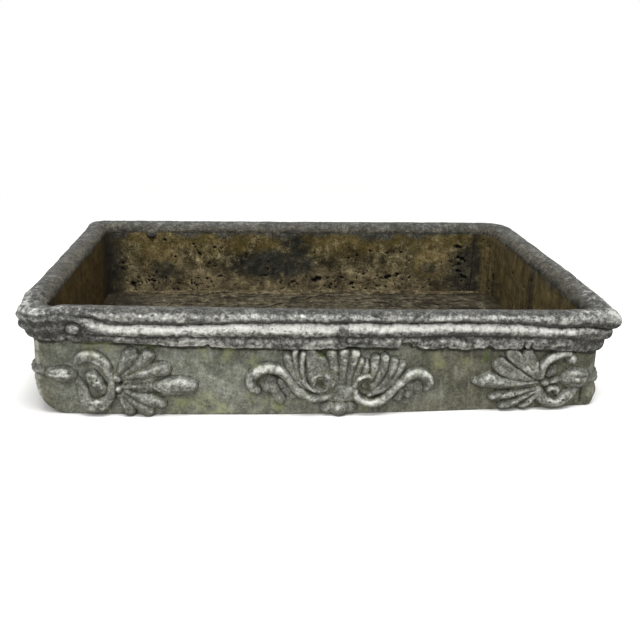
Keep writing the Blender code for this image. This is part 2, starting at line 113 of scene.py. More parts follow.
# Heights of the front rim's two grooves and of its ragged foot, in mm, from left to right
FRONT_GROOVE = ((-258, 90), (-213, 90), (-192, 88.3), (-178, 81.7), (-158, 82.8), (-125, 83.2), (-89, 85.5),
                (-23, 87.4), (61, 88.6), (116, 89.4), (165, 88.3), (202, 84.7), (240, 85.5), (258, 86))
FRONT_LOWER_GROOVE = ((-258, 73), (-184, 70.7), (-160, 69.7), (-126, 71.5), (-64, 72.7), (-23, 73.6),
                      (19, 74.6), (62, 75.7), (132, 76.8), (183, 76.2), (232, 74.5), (258, 74))
FRONT_FOOT = ((-258, 63.2), (-213, 64.3), (-165, 64.2), (-130, 62.8), (-90, 62.8), (-27, 63.1), (8, 63.5),
              (17, 66), (74, 65.4), (119, 65.1), (136, 65.6), (141, 68.9), (147, 66), (172, 65.1), (198, 64.6),
              (236, 63.1), (258, 63))
PLAIN_GROOVE = 88 * MM
PLAIN_LOWER_GROOVE = 75 * MM
PLAIN_FOOT = 63.8 * MM

# Radius of each corner at the rim's outer edge and at the inner face, and how far its lower mouldings tuck in
RIM_CORNERS = {
    "front_left": (21 * MM, 13 * MM, 0 * MM),
    "front_right": (2.5 * MM, 16 * MM, 6 * MM),
    "back_left": (17 * MM, 13 * MM, 3 * MM),
    "back_right": (29 * MM, 21 * MM, 1 * MM),
}

# Worn feet of the front corners: how far in along the front, how high and how deep, and the end walls' splay
LEFT_FOOT = (-220 * MM, -25.5 * MM, 30 * MM)
RIGHT_FOOT = (239.5 * MM, 6.2 * MM, 6 * MM)
FOOT_TOP = 36 * MM
END_SPLAY = 3 * MM

# Spacing of the surface points: on ornaments and outer walls, the rim, small pieces and the walls' inner faces
FINE = 0.7 * MM
PLAIN = 1.0 * MM
MEDIUM = 1.15 * MM
COARSE = 1.6 * MM
RIM_FINE = 0.9 * MM
RIM_COARSE = 1.3 * MM
SMALL_FINE = 0.8 * MM
PLUG_FINE = 0.6 * MM
FRONT_INSIDE = 2.2 * MM
BACK_INSIDE = 1.2 * MM
END_INSIDE = 1.5 * MM

# Edges that bend more than this, in degrees, are drawn sharp
SHARP_FROM = 70

# How far a point of a wall stands proud of its surroundings where it is fully rubbed
PROUD_FULL = 0.35 * MM

SLOTS = {
    "base": "base_stone",
    "wall": "wall_stone",
    "joint": "joint_mortar",
    "rim": "rim_stone",
    "ornament": "ornament_stone",
    "plug": "plug_mortar",
}


# Numbers

def cell_value(cell, seed):
    """A repeatable number from 0 to 1 for each whole-number cell."""
    mixed = cell[..., 0] * 73856093 ^ cell[..., 1] * 19349663 ^ cell[..., 2] * 83492791 ^ seed * 97531
    mixed = (((mixed ^ (mixed >> 13)) & 0xFFFFFFFF) * 1274126177) & 0xFFFFFFFF
    return ((mixed ^ (mixed >> 16)) & 0xFFFF) / 65535


def noise(points, size, seed):
    """Smooth noise from -1 to 1 with features of about the given size, one number or three."""
    scaled = points / np.array(size)
    cell = np.floor(scaled).astype(np.int64)
    part = scaled - cell
    ease = part * part * (3 - 2 * part)
    total = np.zeros(points.shape[:-1])
    for corner in np.ndindex(2, 2, 2):
        weight = np.prod(np.where(corner, ease, 1 - ease), axis=-1)
        total += weight * cell_value(cell + np.array(corner), seed)
    return 2 * total - 1


def places(x, y, z):
    """Points from their three coordinates, each a number or an array."""
    return np.stack(np.broadcast_arrays(x, y, z), axis=-1)


def rough(points, size, seed, octaves=3):
    """Layers of noise, each half the size and half the strength of the last, within -1 to 1."""
    total, strength, most = 0, 1.0, 0.0
    for octave in range(octaves):
        total = total + strength * noise(points, np.array(size) / 2 ** octave, seed + octave)
        most += strength
        strength /= 2
    return total / most


def between(value, low, high):
    """0 below low, 1 above high and an eased step between."""
    share = np.clip((value - low) / (high - low), 0, 1)
    return share * share * (3 - 2 * share)


def hump(value, middle, width):
    """1 at the middle, falling away smoothly on both sides."""
    return np.exp(-((value - middle) / width) ** 2)


def along_table(x, table):
    """Height in metres read from a table of (x, height) in mm."""
    table = np.array(table) * MM
    return np.interp(x, table[:, 0], table[:, 1])


def soften(field, rounds, closed=False):
    """Average each value with its neighbours both ways, again and again."""
    for _ in range(rounds):
        for axis in (0, 1):
            if axis == 1 and closed:
                before, after = np.roll(field, 1, axis=1), np.roll(field, -1, axis=1)
            else:
                pad = [(0, 0)] * field.ndim
                pad[axis] = (1, 1)
                wide = np.pad(field, pad, mode="edge")
                before = wide[:-2] if axis == 0 else wide[:, :-2]
                after = wide[2:] if axis == 0 else wide[:, 2:]
            field = (before + 2 * field + after) / 4
    return field


def worn_foot(points):
    """The new planter's points after its end walls have splayed and its front corners' feet have worn round."""
    x, y, z = points[..., 0], points[..., 1], points[..., 2]
    below = np.clip(1 - z / rim_foot, 0, 1)
    x = x + np.sign(x) * END_SPLAY * below * between(np.abs(x), 200 * MM, 245 * MM)
    near_front = between(-y, 104 * MM, 140 * MM)
    for start, reach, tall in (LEFT_FOOT, RIGHT_FOOT):
        across = np.clip((points[..., 0] - start) / reach, 0, 0.995) * near_front
        lift = tall * (1 - np.sqrt(1 - across ** 2))
        squeeze = np.clip(1 - z / FOOT_TOP, 0, 1)
        z = z + lift * squeeze
    return places(x, y, z)


def settled(points):
    """Where points of the new planter lie now that its walls have bellied and one end has sunk."""
    points = worn_foot(points)
    x, y, z = points[..., 0], points[..., 1], points[..., 2]
    along = 2 * x / RIM_LENGTH
    foot_belly = np.where(y < 0, FRONT_FOOT_BELLY, BACK_FOOT_BELLY)
    belly = foot_belly + (RIM_BELLY - foot_belly) * z / HEIGHT
    outward = np.clip(y / inner_y, -1, 1)
    waist = 1 - RIM_DROP / HEIGHT
    curve = (RIM_END_DROP - WAIST_END_DROP / waist) / (1 - waist)
    share = z / HEIGHT
    drop = share * (RIM_END_DROP - curve + curve * share) * (0.5 - y / RIM_WIDTH)
    lean = RIGHT_LEAN * np.clip(LEAN_SHARE + y / LEAN_DEPTH, 0, 1) * between(x, 0, LEAN_LENGTH)
    sag = BACK_SAG * share * np.clip(y / inner_y, 0, 1) * (1 - along ** 2)
    return places(x - lean, y + belly * outward * (1 - along ** 2), z - along * drop - sag)


def sides_of(corner):
    """Which way a corner lies from the middle, along x and along y: -1 or 1."""
    return (1 if corner.endswith("right") else -1), (1 if corner.startswith("back") else -1)


# Meshes

def directions(points, closed=True):
    """Outward unit directions of a swept surface, from its neighbours both ways."""
    along = np.gradient(points, axis=0)
    if closed:
        around = np.roll(points, -1, axis=1) - np.roll(points, 1, axis=1)
    else:
        around = np.gradient(points, axis=1)
    normal = np.cross(around, along)
    normal /= np.linalg.norm(normal, axis=-1, keepdims=True) + 1e-12
    if closed:
        middle = points.mean(axis=1, keepdims=True)
        if ((points - middle) * normal).sum() < 0:
            normal = -normal
    return normal


def standing(points, normal, rounds):
    """How far each point stands proud of its smoothed surroundings, in metres."""
    return ((points - soften(points, rounds, closed=True)) * normal).sum(axis=-1)


def swept_faces(count, around):
    """Faces of a closed bar through matching rings, capped at both ends."""
    index = np.arange(count * around).reshape(count, around)
    following = np.roll(index, -1, axis=1)
    quads = np.stack((index[:-1], following[:-1], following[1:], index[1:]), axis=-1)
    return quads.reshape(-1, 4).tolist() + [index[0][::-1].tolist(), index[-1].tolist()]


def casting(node, points, faces, finish, slot, masks, inner_faces=None, inner_finish=None):
    """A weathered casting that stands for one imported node."""
    flat = points.reshape(-1, 3)
    vertices = settled(flat)
    vertices[:, 2] = np.maximum(vertices[:, 2], 0)
    mesh = bpy.data.meshes.new(node + "_weathered")
    mesh.from_pydata(vertices.tolist(), [], faces)
    masks = dict(masks, crust=spots_of(flat, CRUSTS, 960), tuft=spots_of(flat, TUFTS, 970))
    for name, values in masks.items():
        layer = mesh.attributes.new(name, "FLOAT", "POINT")
        layer.data.foreach_set("value", np.clip(values, 0, 1).astype(np.float32).ravel())
    mesh.materials.append(finish)
    if inner_faces is not None:
        mesh.materials.append(inner_finish)
        mesh.polygons.foreach_set("material_index", inner_faces.astype(np.int32))
    mesh.update()
    if mesh_volume(mesh) < 0:
        mesh.flip_normals()
    mesh.shade_smooth()
    mesh.set_sharp_from_angle(angle=math.radians(SHARP_FROM))
    piece = bpy.data.objects.new(mesh.name, mesh)
    bpy.context.scene.collection.objects.link(piece)
    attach(piece, "root")
    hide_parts(node)
    return piece


def mesh_volume(mesh):
    """Signed volume that the mesh's triangles enclose: negative when it is inside out."""
    mesh.calc_loop_triangles()
    corners = np.zeros(len(mesh.loop_triangles) * 3, np.int32)
    mesh.loop_triangles.foreach_get("vertices", corners)
    vertices = np.zeros(len(mesh.vertices) * 3)
    mesh.vertices.foreach_get("co", vertices)
    triangles = vertices.reshape(-1, 3)[corners].reshape(-1, 3, 3)
    return np.einsum("ij,ij->", triangles[:, 0], np.cross(triangles[:, 1], triangles[:, 2]))


# Relief of the ornaments, as heights above the wall face over (along, up)

def dome(share, fullness=2):
    """Section of a raised form: 1 at the middle, 0 at the edge with a soft toe, falling on outside."""
    return np.clip(1 - share ** fullness, 0, 1) ** 0.62 - np.clip(share - 1, 0, 1)


def merged(heights, softness=0.35 * MM):
    """The highest of several forms, melted together a little where they meet."""
    most = np.max(heights, axis=0)
    return most + softness * np.log(sum(np.exp(np.clip((height - most) / softness, -30, 0)) for height in heights))


def smooth_line(points, steps=5):
    """A smooth line through points."""
    points = np.array(points, float)
    ends = np.vstack((2 * points[0] - points[1], points, 2 * points[-1] - points[-2]))
    line = []
    for index in range(1, len(ends) - 2):
        before, here, there, after = ends[index - 1:index + 3]
        for step in range(steps):
            t = step / steps
            line.append(0.5 * (2 * here + (there - before) * t + (2 * before - 5 * here + 4 * there - after) * t ** 2
                               + (3 * here - before - 3 * there + after) * t ** 3))
    line.append(points[-1])
    return np.array(line)


def beside(x, y, start, end):
    """The share of the way along a straight segment where it comes nearest each place, and how far off it is."""
    step = end - start
    share = np.clip(((x - start[0]) * step[0] + (y - start[1]) * step[1]) / (step @ step), 0, 1)
    return share, np.hypot(x - start[0] - share * step[0], y - start[1] - share * step[1])


def stroke(along, up, points, radii, heights, hollow=0.0, fullness=2, fatter=1.0):
    """A raised stroke on a smooth line, its radius and height eased from end to end, perhaps spooned out."""
    line = smooth_line(points) * MM
    nearest = np.full(along.shape, 1e9)
    place = np.zeros(along.shape)
    last = len(line) - 1
    stations = np.linspace(0, 1, len(radii))
    for index in range(last):
        share, off = beside(along, up, line[index], line[index + 1])
        whole = (index + share) / last
        ratio = off / (np.interp(whole, stations, radii) * MM * fatter)
        closer = ratio < nearest
        nearest = np.where(closer, ratio, nearest)
        place = np.where(closer, whole, place)
    tall = np.interp(place, stations, heights) * MM
    height = dome(nearest, fullness) * tall
    if hollow:
        height = height - hollow * MM * np.clip(1 - (nearest / 0.8) ** 2, 0, 1) * between(place, 0.2, 0.6)
    return height


def button(along, up, centre, radius, height, squash=1.0):
    off = np.hypot((along - centre[0] * MM), (up - centre[1] * MM) / squash)
    return dome(off / (radius * MM)) * height * MM


def dent(along, up, centre, radius, depth):
    """A round hollow to take away from the relief."""
    off = np.hypot(along - centre[0] * MM, up - centre[1] * MM)
    return np.clip(1 - (off / (radius * MM)) ** 2, 0, 1) * depth * MM


def wander(along, up, seed):
    """Shift places a little so that outlines waver like worn castings."""
    spots = places(along, up, 0)
    shift = [rough(spots, 8 * MM, seed + step, 3) * 0.9 * MM for step in (0, 7)]
    return along + shift[0], up + shift[1]


# Ornament designs: beds and strokes as (centre line points, radii, heights) and perhaps (hollow, fullness), buttons
# and dents as (centre, radius, height or depth), in mm. Palmettes are measured from the root of their petals.
PALMETTE_A = {
    "root_up": 27.5,
    "beds": ((((-2, -1), (14, 2), (30, 4)), (8, 16, 14), (3.4, 4.4, 2.8)),),
    "strokes": (
        (((1, 8), (8, 18), (11, 24.5)), (2.4, 5.4, 6.2), (5.5, 7.4, 7.0), 1.2, 2),
        (((3, 6), (14, 13), (22, 20), (25.5, 24.5)), (2.2, 4.4, 5.6, 5.4), (5, 6.8, 7.4, 6.6), 1.0, 2),
        (((3, 4), (15, 7.5), (28, 11), (39, 13)), (2.0, 4.0, 5.8, 5.2), (4.5, 6.6, 7.6, 6.2)),
        (((5, 1), (18, 2.5), (36, 5.5)), (1.2, 1.9, 1.4), (4.4, 4.8, 3.0)),
        (((4, -3), (14, -2.5), (26, -2)), (2.2, 3.3, 3.2), (5.2, 6.0, 4.4)),
        (((32, -2), (40, -2), (52, -1.5), (60.5, -0.5)), (4.4, 6.6, 7.0, 5.2), (5.6, 8.0, 8.3, 7.0), 0, 2.6),
        (((5, -7), (14, -10.5), (26, -14.5), (35, -17)), (2.0, 3.6, 4.6, 4.2), (4.6, 6.2, 6.8, 5.8)),
        (((2, -9), (11, -15), (19, -20.5), (23.5, -23)), (2.0, 3.6, 4.6, 4.8), (4.6, 6.2, 6.8, 6.0)),
        (((-1, -10), (4, -17), (7.5, -22)), (2.2, 4.2, 5.2), (4.6, 5.8, 5.8), 0, 2.6),
        (((-35, 15), (-31, 20), (-25.5, 22.5), (-19, 21.5), (-13.5, 18), (-8.5, 11), (-6.5, 3), (-6.5, -6),
          (-9, -13), (-14, -17.5), (-21, -19.5), (-27, -18), (-30, -12.5), (-31.5, -5), (-34, 1)),
         (2.2, 4.0, 4.6, 4.6, 4.4, 3.4, 2.8, 3.2, 4.0, 4.8, 5.0, 4.8, 4.4, 4.0, 2.0),
         (4.6, 6.2, 6.8, 6.6, 6.2, 5.8, 5.6, 5.6, 5.8, 6.2, 6.4, 6.2, 5.6, 4.8, 3.0), 0, 5),
        (((-22, 4), (-18.5, -1), (-14.5, -6)), (5.6, 5.6, 4.2), (7.0, 7.6, 6.2)),
    ),
    "buttons": (((-1, 4), 4.6, 7.4), ((-1, -5), 3.8, 6.6)),
    "dents": (((1, 0), 2.1, 5.5), ((-17.5, 2.5), 1.4, 1.6)),
}
PALMETTE_B = {
    "root_up": 32,
    "beds": ((((-3, -1), (14, 1), (28, 3)), (8, 16, 15), (3.4, 4.4, 3.0)),),
    "strokes": (
        (((-1, 8), (4, 18), (9, 26)), (2.2, 4.8, 5.4), (5.5, 7.4, 6.8), 3.2, 3),
        (((-1, 4), (11, 15), (19, 23), (24, 28)), (2.0, 4.2, 5.4, 5.2), (5.5, 7.8, 8.2, 7.6), 3.8, 3),
        (((2, 2), (15, 6.5), (26, 11.5), (34, 17)), (2.0, 4.4, 6.4, 6.0), (5.5, 7.6, 8.2, 7.2), 3.8, 3),
        (((-2, 0), (14, -0.5), (30, -0.5), (42, 1.5), (50, 0.5), (55.5, -0.5)), (2.2, 3.8, 5.8, 7.4, 5.0, 1.8),
         (5.6, 7.0, 7.6, 8.3, 7.4, 4.4)),
        (((-2, -7), (13, -10.5), (25, -13.5), (38, -16)), (2.0, 3.5, 4.3, 3.8), (4.6, 6.4, 6.8, 5.8)),
        (((-2, -9.5), (10, -17), (21, -23.5), (28, -26)), (2.0, 3.5, 4.3, 4.0), (4.6, 6.2, 6.6, 5.8)),
        (((-3, -13), (3, -21), (9, -26.5)), (2.2, 3.9, 4.2), (4.6, 6.2, 5.8)),
        (((-4, 6), (-6, 17), (-13, 24.5), (-22, 28), (-28, 28)), (3.4, 3.7, 3.7, 3.5, 3.2),
         (7.6, 8.0, 8.0, 7.6, 7.0), 0, 2.4),
        (((-4, -9), (-7, -17), (-16, -24), (-25, -23.5), (-32, -16), (-37, -9)), (4.6, 5.4, 5.6, 5.4, 5.2, 4.2),
         (6.4, 7.2, 7.6, 7.6, 7.0, 5.4), 0, 2.4),
        (((-14, -1), (-19, 1), (-23, 2)), (2.0, 3.0, 1.8), (4.6, 5.6, 3.6)),
        (((-12, 6), (-16, 11), (-17, 15)), (2.0, 3.6, 2.6), (3.6, 5.0, 3.6)),
        (((-13, -9), (-17, -6.5), (-21.5, -8.5), (-21.5, -13)), (2.0, 2.6, 2.6, 1.8), (7.0, 7.4, 7.2, 6.4)),
    ),
    "buttons": (((-31.5, 23), 6.2, 7.4), ((-9, -1), 4.4, 8.0)),
    "dents": (((-30.5, 24), 3.2, 3.0), ((-14, -15), 1.8, 1.6), ((-27, -20), 1.6, 1.6)),
}
# The crest is measured from its axis and from the ground
CREST = {
    "beds": (
        (((-20, 32), (-29, 39), (-36, 48)), (10, 13, 10), (3.2, 3.6, 2.6)),
        (((0, 32), (2, 52)), (11, 15), (3.8, 4.4)),
        (((22, 28), (32, 36), (40, 43)), (10, 12, 10), (3.2, 3.6, 2.6)),
        (((-66, 32), (-56, 26)), (7, 9), (2.0, 2.0)),
        (((67, 32), (60, 26)), (7, 8), (2.0, 2.0)),
    ),
    "strokes": (
        (((-27, 25.5), (-35, 31), (-40.5, 38), (-44, 46), (-46.5, 55)), (2.4, 3.6, 4.3, 4.5, 3.8),
         (5.5, 6.6, 6.8, 6.4, 5.4)),
        (((-19, 25), (-27, 27), (-34, 34), (-38.5, 43), (-40, 52), (-39.5, 60)), (2.0, 2.6, 2.8, 2.8, 2.8, 2.8),
         (5.5, 6.4, 7.0, 7.0, 6.6, 6.0)),
        (((-23, 24), (-28, 27.5), (-32, 33), (-34, 41), (-34.5, 49), (-33, 58)), (1.6, 2.1, 2.5, 2.6, 2.6, 2.3),
         (7.2, 8.0, 8.3, 8.3, 8.3, 7.6)),
        (((-9.5, 24.5), (-8, 31), (-12, 38), (-19.5, 39.5), (-25.5, 35)), (2.6, 3.4, 3.6, 3.0, 1.6),
         (6.6, 7.6, 8.3, 8.2, 7.4)),
        (((-16.5, 31), (-18, 38), (-21, 47), (-26, 57)), (10.6, 10.8, 9.0, 4.8), (7.0, 7.6, 7.8, 6.6), 2.4, 4),
        (((-5, 28), (-6.5, 44), (-8.5, 58)), (2.4, 3.9, 4.7), (4.4, 6.6, 7.8), 0, 3.2),
        (((1, 28), (1.5, 45), (1.5, 60)), (2.2, 3.6, 4.5), (4.2, 6.6, 8.2), 0, 3.2),
        (((6, 29), (8.5, 45), (11, 58)), (2.0, 3.5, 4.4), (4.2, 6.6, 7.4), 0, 3.2),
        (((9.5, 31), (14, 41), (17, 51)), (1.8, 2.8, 3.1), (4.2, 6.0, 6.2), 0, 2.4),
        (((20, 41), (21.5, 47), (22, 52)), (3.2, 3.6, 1.4), (6.4, 7.4, 5.2)),
        (((12, 29), (14.5, 35.5), (20, 38.5), (26.5, 37)), (2.8, 3.0, 3.0, 2.6), (7.4, 8.0, 8.0, 7.2)),
        (((26, 36), (29, 45), (29.5, 54)), (2.8, 3.9, 4.0), (5.8, 7.2, 6.4), 0, 3),
        (((26, 27), (31, 34), (35.5, 43.5), (37.5, 55)), (2.4, 3.2, 3.7, 3.8), (6.2, 7.6, 7.8, 6.8), 0, 3),
        (((28, 23.5), (36.5, 31), (42.5, 41), (45.5, 52)), (2.6, 3.5, 3.9, 3.8), (5.6, 6.6, 7.0, 6.0), 0, 3),
        (((24, 20), (34, 24.5), (43, 32), (49.5, 41.5), (53, 50)), (2.4, 3.2, 3.6, 3.7, 3.2),
         (5.6, 6.6, 6.8, 6.4, 5.6)),
        (((-65, 35), (-64, 25)), (5.2, 4.4), (3.8, 4.4)),
        (((-61, 33), (-57, 24), (-51.5, 15)), (3.8, 4.4, 4.0), (4.0, 5.4, 5.2)),
        (((-52, 31), (-46.5, 23.5), (-40.5, 18)), (3.4, 3.8, 3.2), (4.0, 5.0, 4.6)),
        (((67, 35), (68.5, 25)), (4.8, 4.4), (3.6, 4.4)),
        (((61, 34), (60, 20)), (3.6, 4.6), (3.8, 5.2)),
        (((54, 30), (51, 16)), (3.4, 4.4), (3.8, 5.2)),
        (((-10, 20), (-19, 17.4), (-28, 18.4), (-36, 23.4), (-42, 30.2), (-47, 37.2), (-53, 41.8), (-60, 43.6),
          (-67, 42.6), (-73.5, 39), (-77.5, 33), (-77.5, 27), (-73, 23)),
         (3.4, 4.2, 4.5, 4.5, 4.5, 4.5, 4.5, 4.5, 4.6, 4.8, 4.9, 4.8, 3.6),
         (6.6, 7.6, 7.8, 8.1, 8.2, 8.2, 8.2, 8.2, 8.1, 8.0, 7.8, 7.4, 6.0), 0, 2.4),
        (((12, 25), (14, 17.5), (20, 13.5), (29, 12), (36, 15.5), (43, 22.5), (51, 31.5), (58.5, 38), (66.5, 41),
          (73.5, 38), (77, 31.5), (75.5, 25.5)),
         (3.0, 3.8, 4.2, 4.3, 4.3, 4.3, 4.3, 4.5, 4.9, 5.1, 4.8, 3.4),
         (6.6, 7.6, 7.8, 8.1, 8.2, 8.2, 8.2, 8.2, 8.2, 8.0, 7.4, 6.0), 0, 2.4),
        (((-6, 21.5), (7, 21.5)), (7.4, 7.4), (5.4, 5.4), 0, 6),
        (((-10, 8.5), (-1, 8), (7, 9)), (4.2, 5.4, 4.0), (5.4, 6.4, 5.2), 0, 2.4),
    ),
    "buttons": (((-10.5, 8.5), 7.6, 6.0), ((-1, 7), 9.4, 7.4), ((8, 8.5), 7.2, 5.8)),
    "dents": (((-18, 30.5), 6.2, 4.6), ((21.5, 27.5), 5.4, 4.2), ((0, 18), 4.0, 1.6)),
}
CREST_X = 13.5 * MM
STROKE_SPREAD = 1.19


def relief_of(design, along, up, seed):
    """Height of a design at places measured from its own origin."""
    along, up = wander(along, up, seed)
    forms = [np.full(along.shape, -1 * MM)]
    forms += [stroke(along, up, *bed) for bed in design["beds"]]
    forms += [stroke(along, up, *form, fatter=STROKE_SPREAD) for form in design["strokes"]]
    height = merged(forms)
    for centre, radius, depth in design["dents"]:
        height = height - dent(along, up, centre, radius, depth) * (height > 0)
    for centre, radius, tall in design["buttons"]:
        height = np.maximum(height, button(along, up, centre, radius, tall))
    return height


def face_point(face, along, up, out):
    """A point of one wall face, along being to the right as seen from outside."""
    outer = half_y if face in ("front", "back") else half_x
    turn = {"front": 0, "right": 1, "back": 2, "left": 3}[face] * math.pi / 2
    x, y = along, -(outer + out)
    return places(x * math.cos(turn) - y * math.sin(turn), x * math.sin(turn) + y * math.cos(turn), up)


def corner_point(side_x, side_y, run, up, out):
    """A point near one corner: run is measured round it, from the long wall to the end wall."""
    bend = math.pi / 2 * CORNER_RADIUS
    angle = np.clip(run / bend + 0.5, 0, 1) * math.pi / 2
    normal_x, normal_y = np.sin(angle), np.cos(angle)
    before = np.clip(-run - bend / 2, 0, None)
    after = np.clip(run - bend / 2, 0, None)
    x = half_x - CORNER_RADIUS + (CORNER_RADIUS + out) * normal_x - before
    y = half_y - CORNER_RADIUS + (CORNER_RADIUS + out) * normal_y - after
    return places(side_x * x, side_y * y, up)


# How deep an ornament's edge and back lie in the wall, its most relief, and the relief from which it is made
SINK = 0.9 * MM
BACK = 1.8 * MM
RELIEF_LIMIT = 8.3 * MM
RELIEF_SHOWN = -0.4 * MM


def relief_casting(node, span, step, relief, place, seed, finish, slot):
    """An ornament: its relief grid in front, and a thinned flat back let into the wall."""
    (low_along, high_along), (low_up, high_up) = span
    along, up = np.meshgrid(np.arange(low_along, high_along, step), np.arange(low_up, high_up, step), indexing="ij")
    height = relief(along, up)
    flat = place(along, up, np.zeros(along.shape))
    worn = rough(flat, 6 * MM, seed, 3) * 0.6 * MM + rough(flat, 2.0 * MM, seed + 9, 2) * 0.5 * MM
    worn = worn - 1.1 * MM * between(rough(flat, 2.6 * MM, seed + 20, 2), 0.42, 0.75)
    height = np.where(height > 0, height + worn * between(height, 0, 1.5 * MM), height)
    height = np.minimum(height, RELIEF_LIMIT)
    shown = height > RELIEF_SHOWN
    cell = shown[:-1, :-1] | shown[1:, :-1] | shown[1:, 1:] | shown[:-1, 1:]
    front = place(along, up, np.maximum(height, -SINK))
    back = place(along, up, np.full(along.shape, -BACK))
    rounds = int(24 * (0.7 * MM / step) ** 2) + 2
    proud = (height - soften(np.maximum(height, 0), rounds)) / MM
    close = (height - soften(np.maximum(height, 0), 2)) / MM
    # Painted light: slopes that face up get more of the pale rubbed tone as painted highlight, slopes that face down
    # are marked low for painted shade, as are creases
    slope = np.gradient(soften(height, 1), step, axis=1)
    upward = -slope / np.sqrt(1 + slope ** 2)
    patchy = 0.75 + 0.9 * rough(flat, 9 * MM, seed + 30, 3)
    high = between(proud, -0.2, 1.4) * between(height, 2.5 * MM, 7 * MM) * (0.75 + 0.9 * upward) * patchy
    low = np.maximum(between(-proud, 0.3, 1.3), between(-close, 0.04, 0.24))
    low = np.maximum(low, 0.6 * between(-upward, 0.35, 0.9))
    points, faces, masks = grid_solid(front, back, cell, {"high": high, "low": low})
    return casting(node, points, faces, finish, SLOTS[slot], masks)


def thinned_back(index, cell, offset, block=4):
    """Back faces, their vertices merged block by block where a whole block is covered."""
    joined = index.copy()
    rows, columns = cell.shape
    for row in range(1, rows - block - 1, block):
        for column in range(1, columns - block - 1, block):
            if cell[row - 1:row + block + 1, column - 1:column + block + 1].all():
                joined[row:row + block, column:column + block] = index[row, column]
    joined = joined + offset
    quads = np.stack((joined[:-1, :-1], joined[:-1, 1:], joined[1:, 1:], joined[1:, :-1]), axis=-1)[cell]
    faces = []
    for quad in quads.tolist():
        face = [corner for spot, corner in enumerate(quad) if corner != quad[spot - 1]]
        if len(set(face)) == len(face) and len(face) > 2:
            faces.append(face)
    return faces


def edge_faces(index, cell, offset):
    """Faces that join the front grid's border to the back grid's."""
    inside = np.pad(cell, 1)
    faces = []
    for row, column in np.argwhere(cell).tolist():
        corners = (index[row, column], index[row + 1, column], index[row + 1, column + 1], index[row, column + 1])
        neighbours = (inside[row + 1, column], inside[row + 2, column + 1], inside[row + 1, column + 2],
                      inside[row, column + 1])
        for spot in range(4):
            if not neighbours[spot]:
                start, end = int(corners[spot]), int(corners[(spot + 1) % 4])
                faces.append([end, start, start + offset, end + offset])
    return faces


def grid_solid(front, back, cell, masks):
    """The solid between two grids of points where cells are in use: its points, faces and masks."""
    count = front[..., 0].size
    index = np.arange(count).reshape(front.shape[:2])
    quads = np.stack((index[:-1, :-1], index[1:, :-1], index[1:, 1:], index[:-1, 1:]), axis=-1)
    faces = quads[cell].tolist() + thinned_back(index, cell, count) + edge_faces(index, cell, count)
    used = np.zeros(2 * count, bool)
    for face in faces:
        used[face] = True
    renumbered = np.cumsum(used) - 1
    faces = [[int(renumbered[corner]) for corner in face] for face in faces]
    points = np.concatenate((front.reshape(-1, 3), back.reshape(-1, 3)))[used]
    return points, faces, {name: np.tile(values.ravel(), 2)[used] for name, values in masks.items()}


# Where each palmette's root stands, in mm along its face from the face's middle
PALMETTE_ROOTS = {
    "front": (-175.5, 187.5),
    "back": (-179.5, 179.5),
    "left": (-80.5, 80.5),
    "right": (-80.5, 80.5),
}

# How far a palmette reaches from its root, a crest from its middle, and all of them up the wall
PALMETTE_BEHIND = 42 * MM
PALMETTE_AHEAD = 70 * MM
CREST_REACH = 88 * MM
ORNAMENT_HEIGHTS = (0.6 * MM, field_top + 1.5 * MM)


def ornaments_of(face):
    """Each ornament of a face: its name, how far it reaches along the face, its relief and its seed."""
    left, right = PALMETTE_ROOTS[face]
    for side, design, root, hand in (("a", PALMETTE_A, left, 1), ("b", PALMETTE_B, right, -1)):
        def relief(along, up, design=design, root=root, hand=hand):
            return relief_of(design, hand * (along - root * MM), up - design["root_up"] * MM, 810)
        reach = sorted((root * MM - hand * PALMETTE_BEHIND, root * MM + hand * PALMETTE_AHEAD))
        yield "palmette_%s_%s" % (face, side), reach, relief, 40 + len(face) + ord(side)
    if face in ("front", "back"):
        reach = (CREST_X - CREST_REACH, CREST_X + CREST_REACH)
        yield "crest_" + face, reach, lambda along, up: relief_of(CREST, along - CREST_X, up, 830), 70 + len(face)


def face_relief(face, along, up):
    """Height of all the ornaments of one face, for what they do to the wall round them."""
    heights = [relief(along, up) for _, _, relief, _ in ornaments_of(face)]
    return np.maximum.reduce([np.full(along.shape, -1 * MM)] + heights)


def make_ornaments():
    for face in ("front", "back", "left", "right"):
        step = FINE if face == "front" else PLAIN
        place = lambda along, up, out: face_point(face, along, up, out)
        for name, reach, relief, seed in ornaments_of(face):
            relief_casting(name, (reach, ORNAMENT_HEIGHTS), step, relief, place, seed, ornament_finish, "ornament")


# Husks: (run along the long wall, up, half length, half height, relief) in mm on each side of a corner
HUSKS = {
    "front_left": ((-20.5, 32.5, 14, 7.2, 7.8), (14, 32, 10, 8, 5.6)),
    "front_right": ((-18.5, 34.5, 14.5, 11.5, 7.8), (14, 33, 10, 8, 7)),
    "back_left": ((-16, 33, 12, 8, 7.8), (16, 33, 11, 8, 7)),
    "back_right": ((-16, 33, 12, 8, 7.8), (16, 33, 11, 8, 7)),
}


# The knot between a husk's lobes, each lobe's two creases (width and depth), and the patch that a husk is cut from
HUSK_KNOT = ((-2, 34), 7.5, 4.6, 0.7)
CREASE_WIDTH = 1.6 * MM
CREASE_DEPTH = 0.7 * MM
HUSK_SPAN = ((-38 * MM, 32 * MM), (18 * MM, 48 * MM))


def husk_relief(lobes, run, up):
    run, up = wander(run, up, 850)
    height = button(run, up, *HUSK_KNOT)
    for centre, middle, half_length, half_height, tall in lobes:
        lens = button(run, up, (centre, middle), half_length, tall, half_height / half_length)
        for side in (-1, 1):
            crease = np.abs(up - (middle + side * half_height * 0.3) * MM) / CREASE_WIDTH
            lens = lens - np.clip(1 - crease, 0, 1) * CREASE_DEPTH * between(lens, 1 * MM, 4 * MM)
        height = np.maximum(height, lens)
    return height


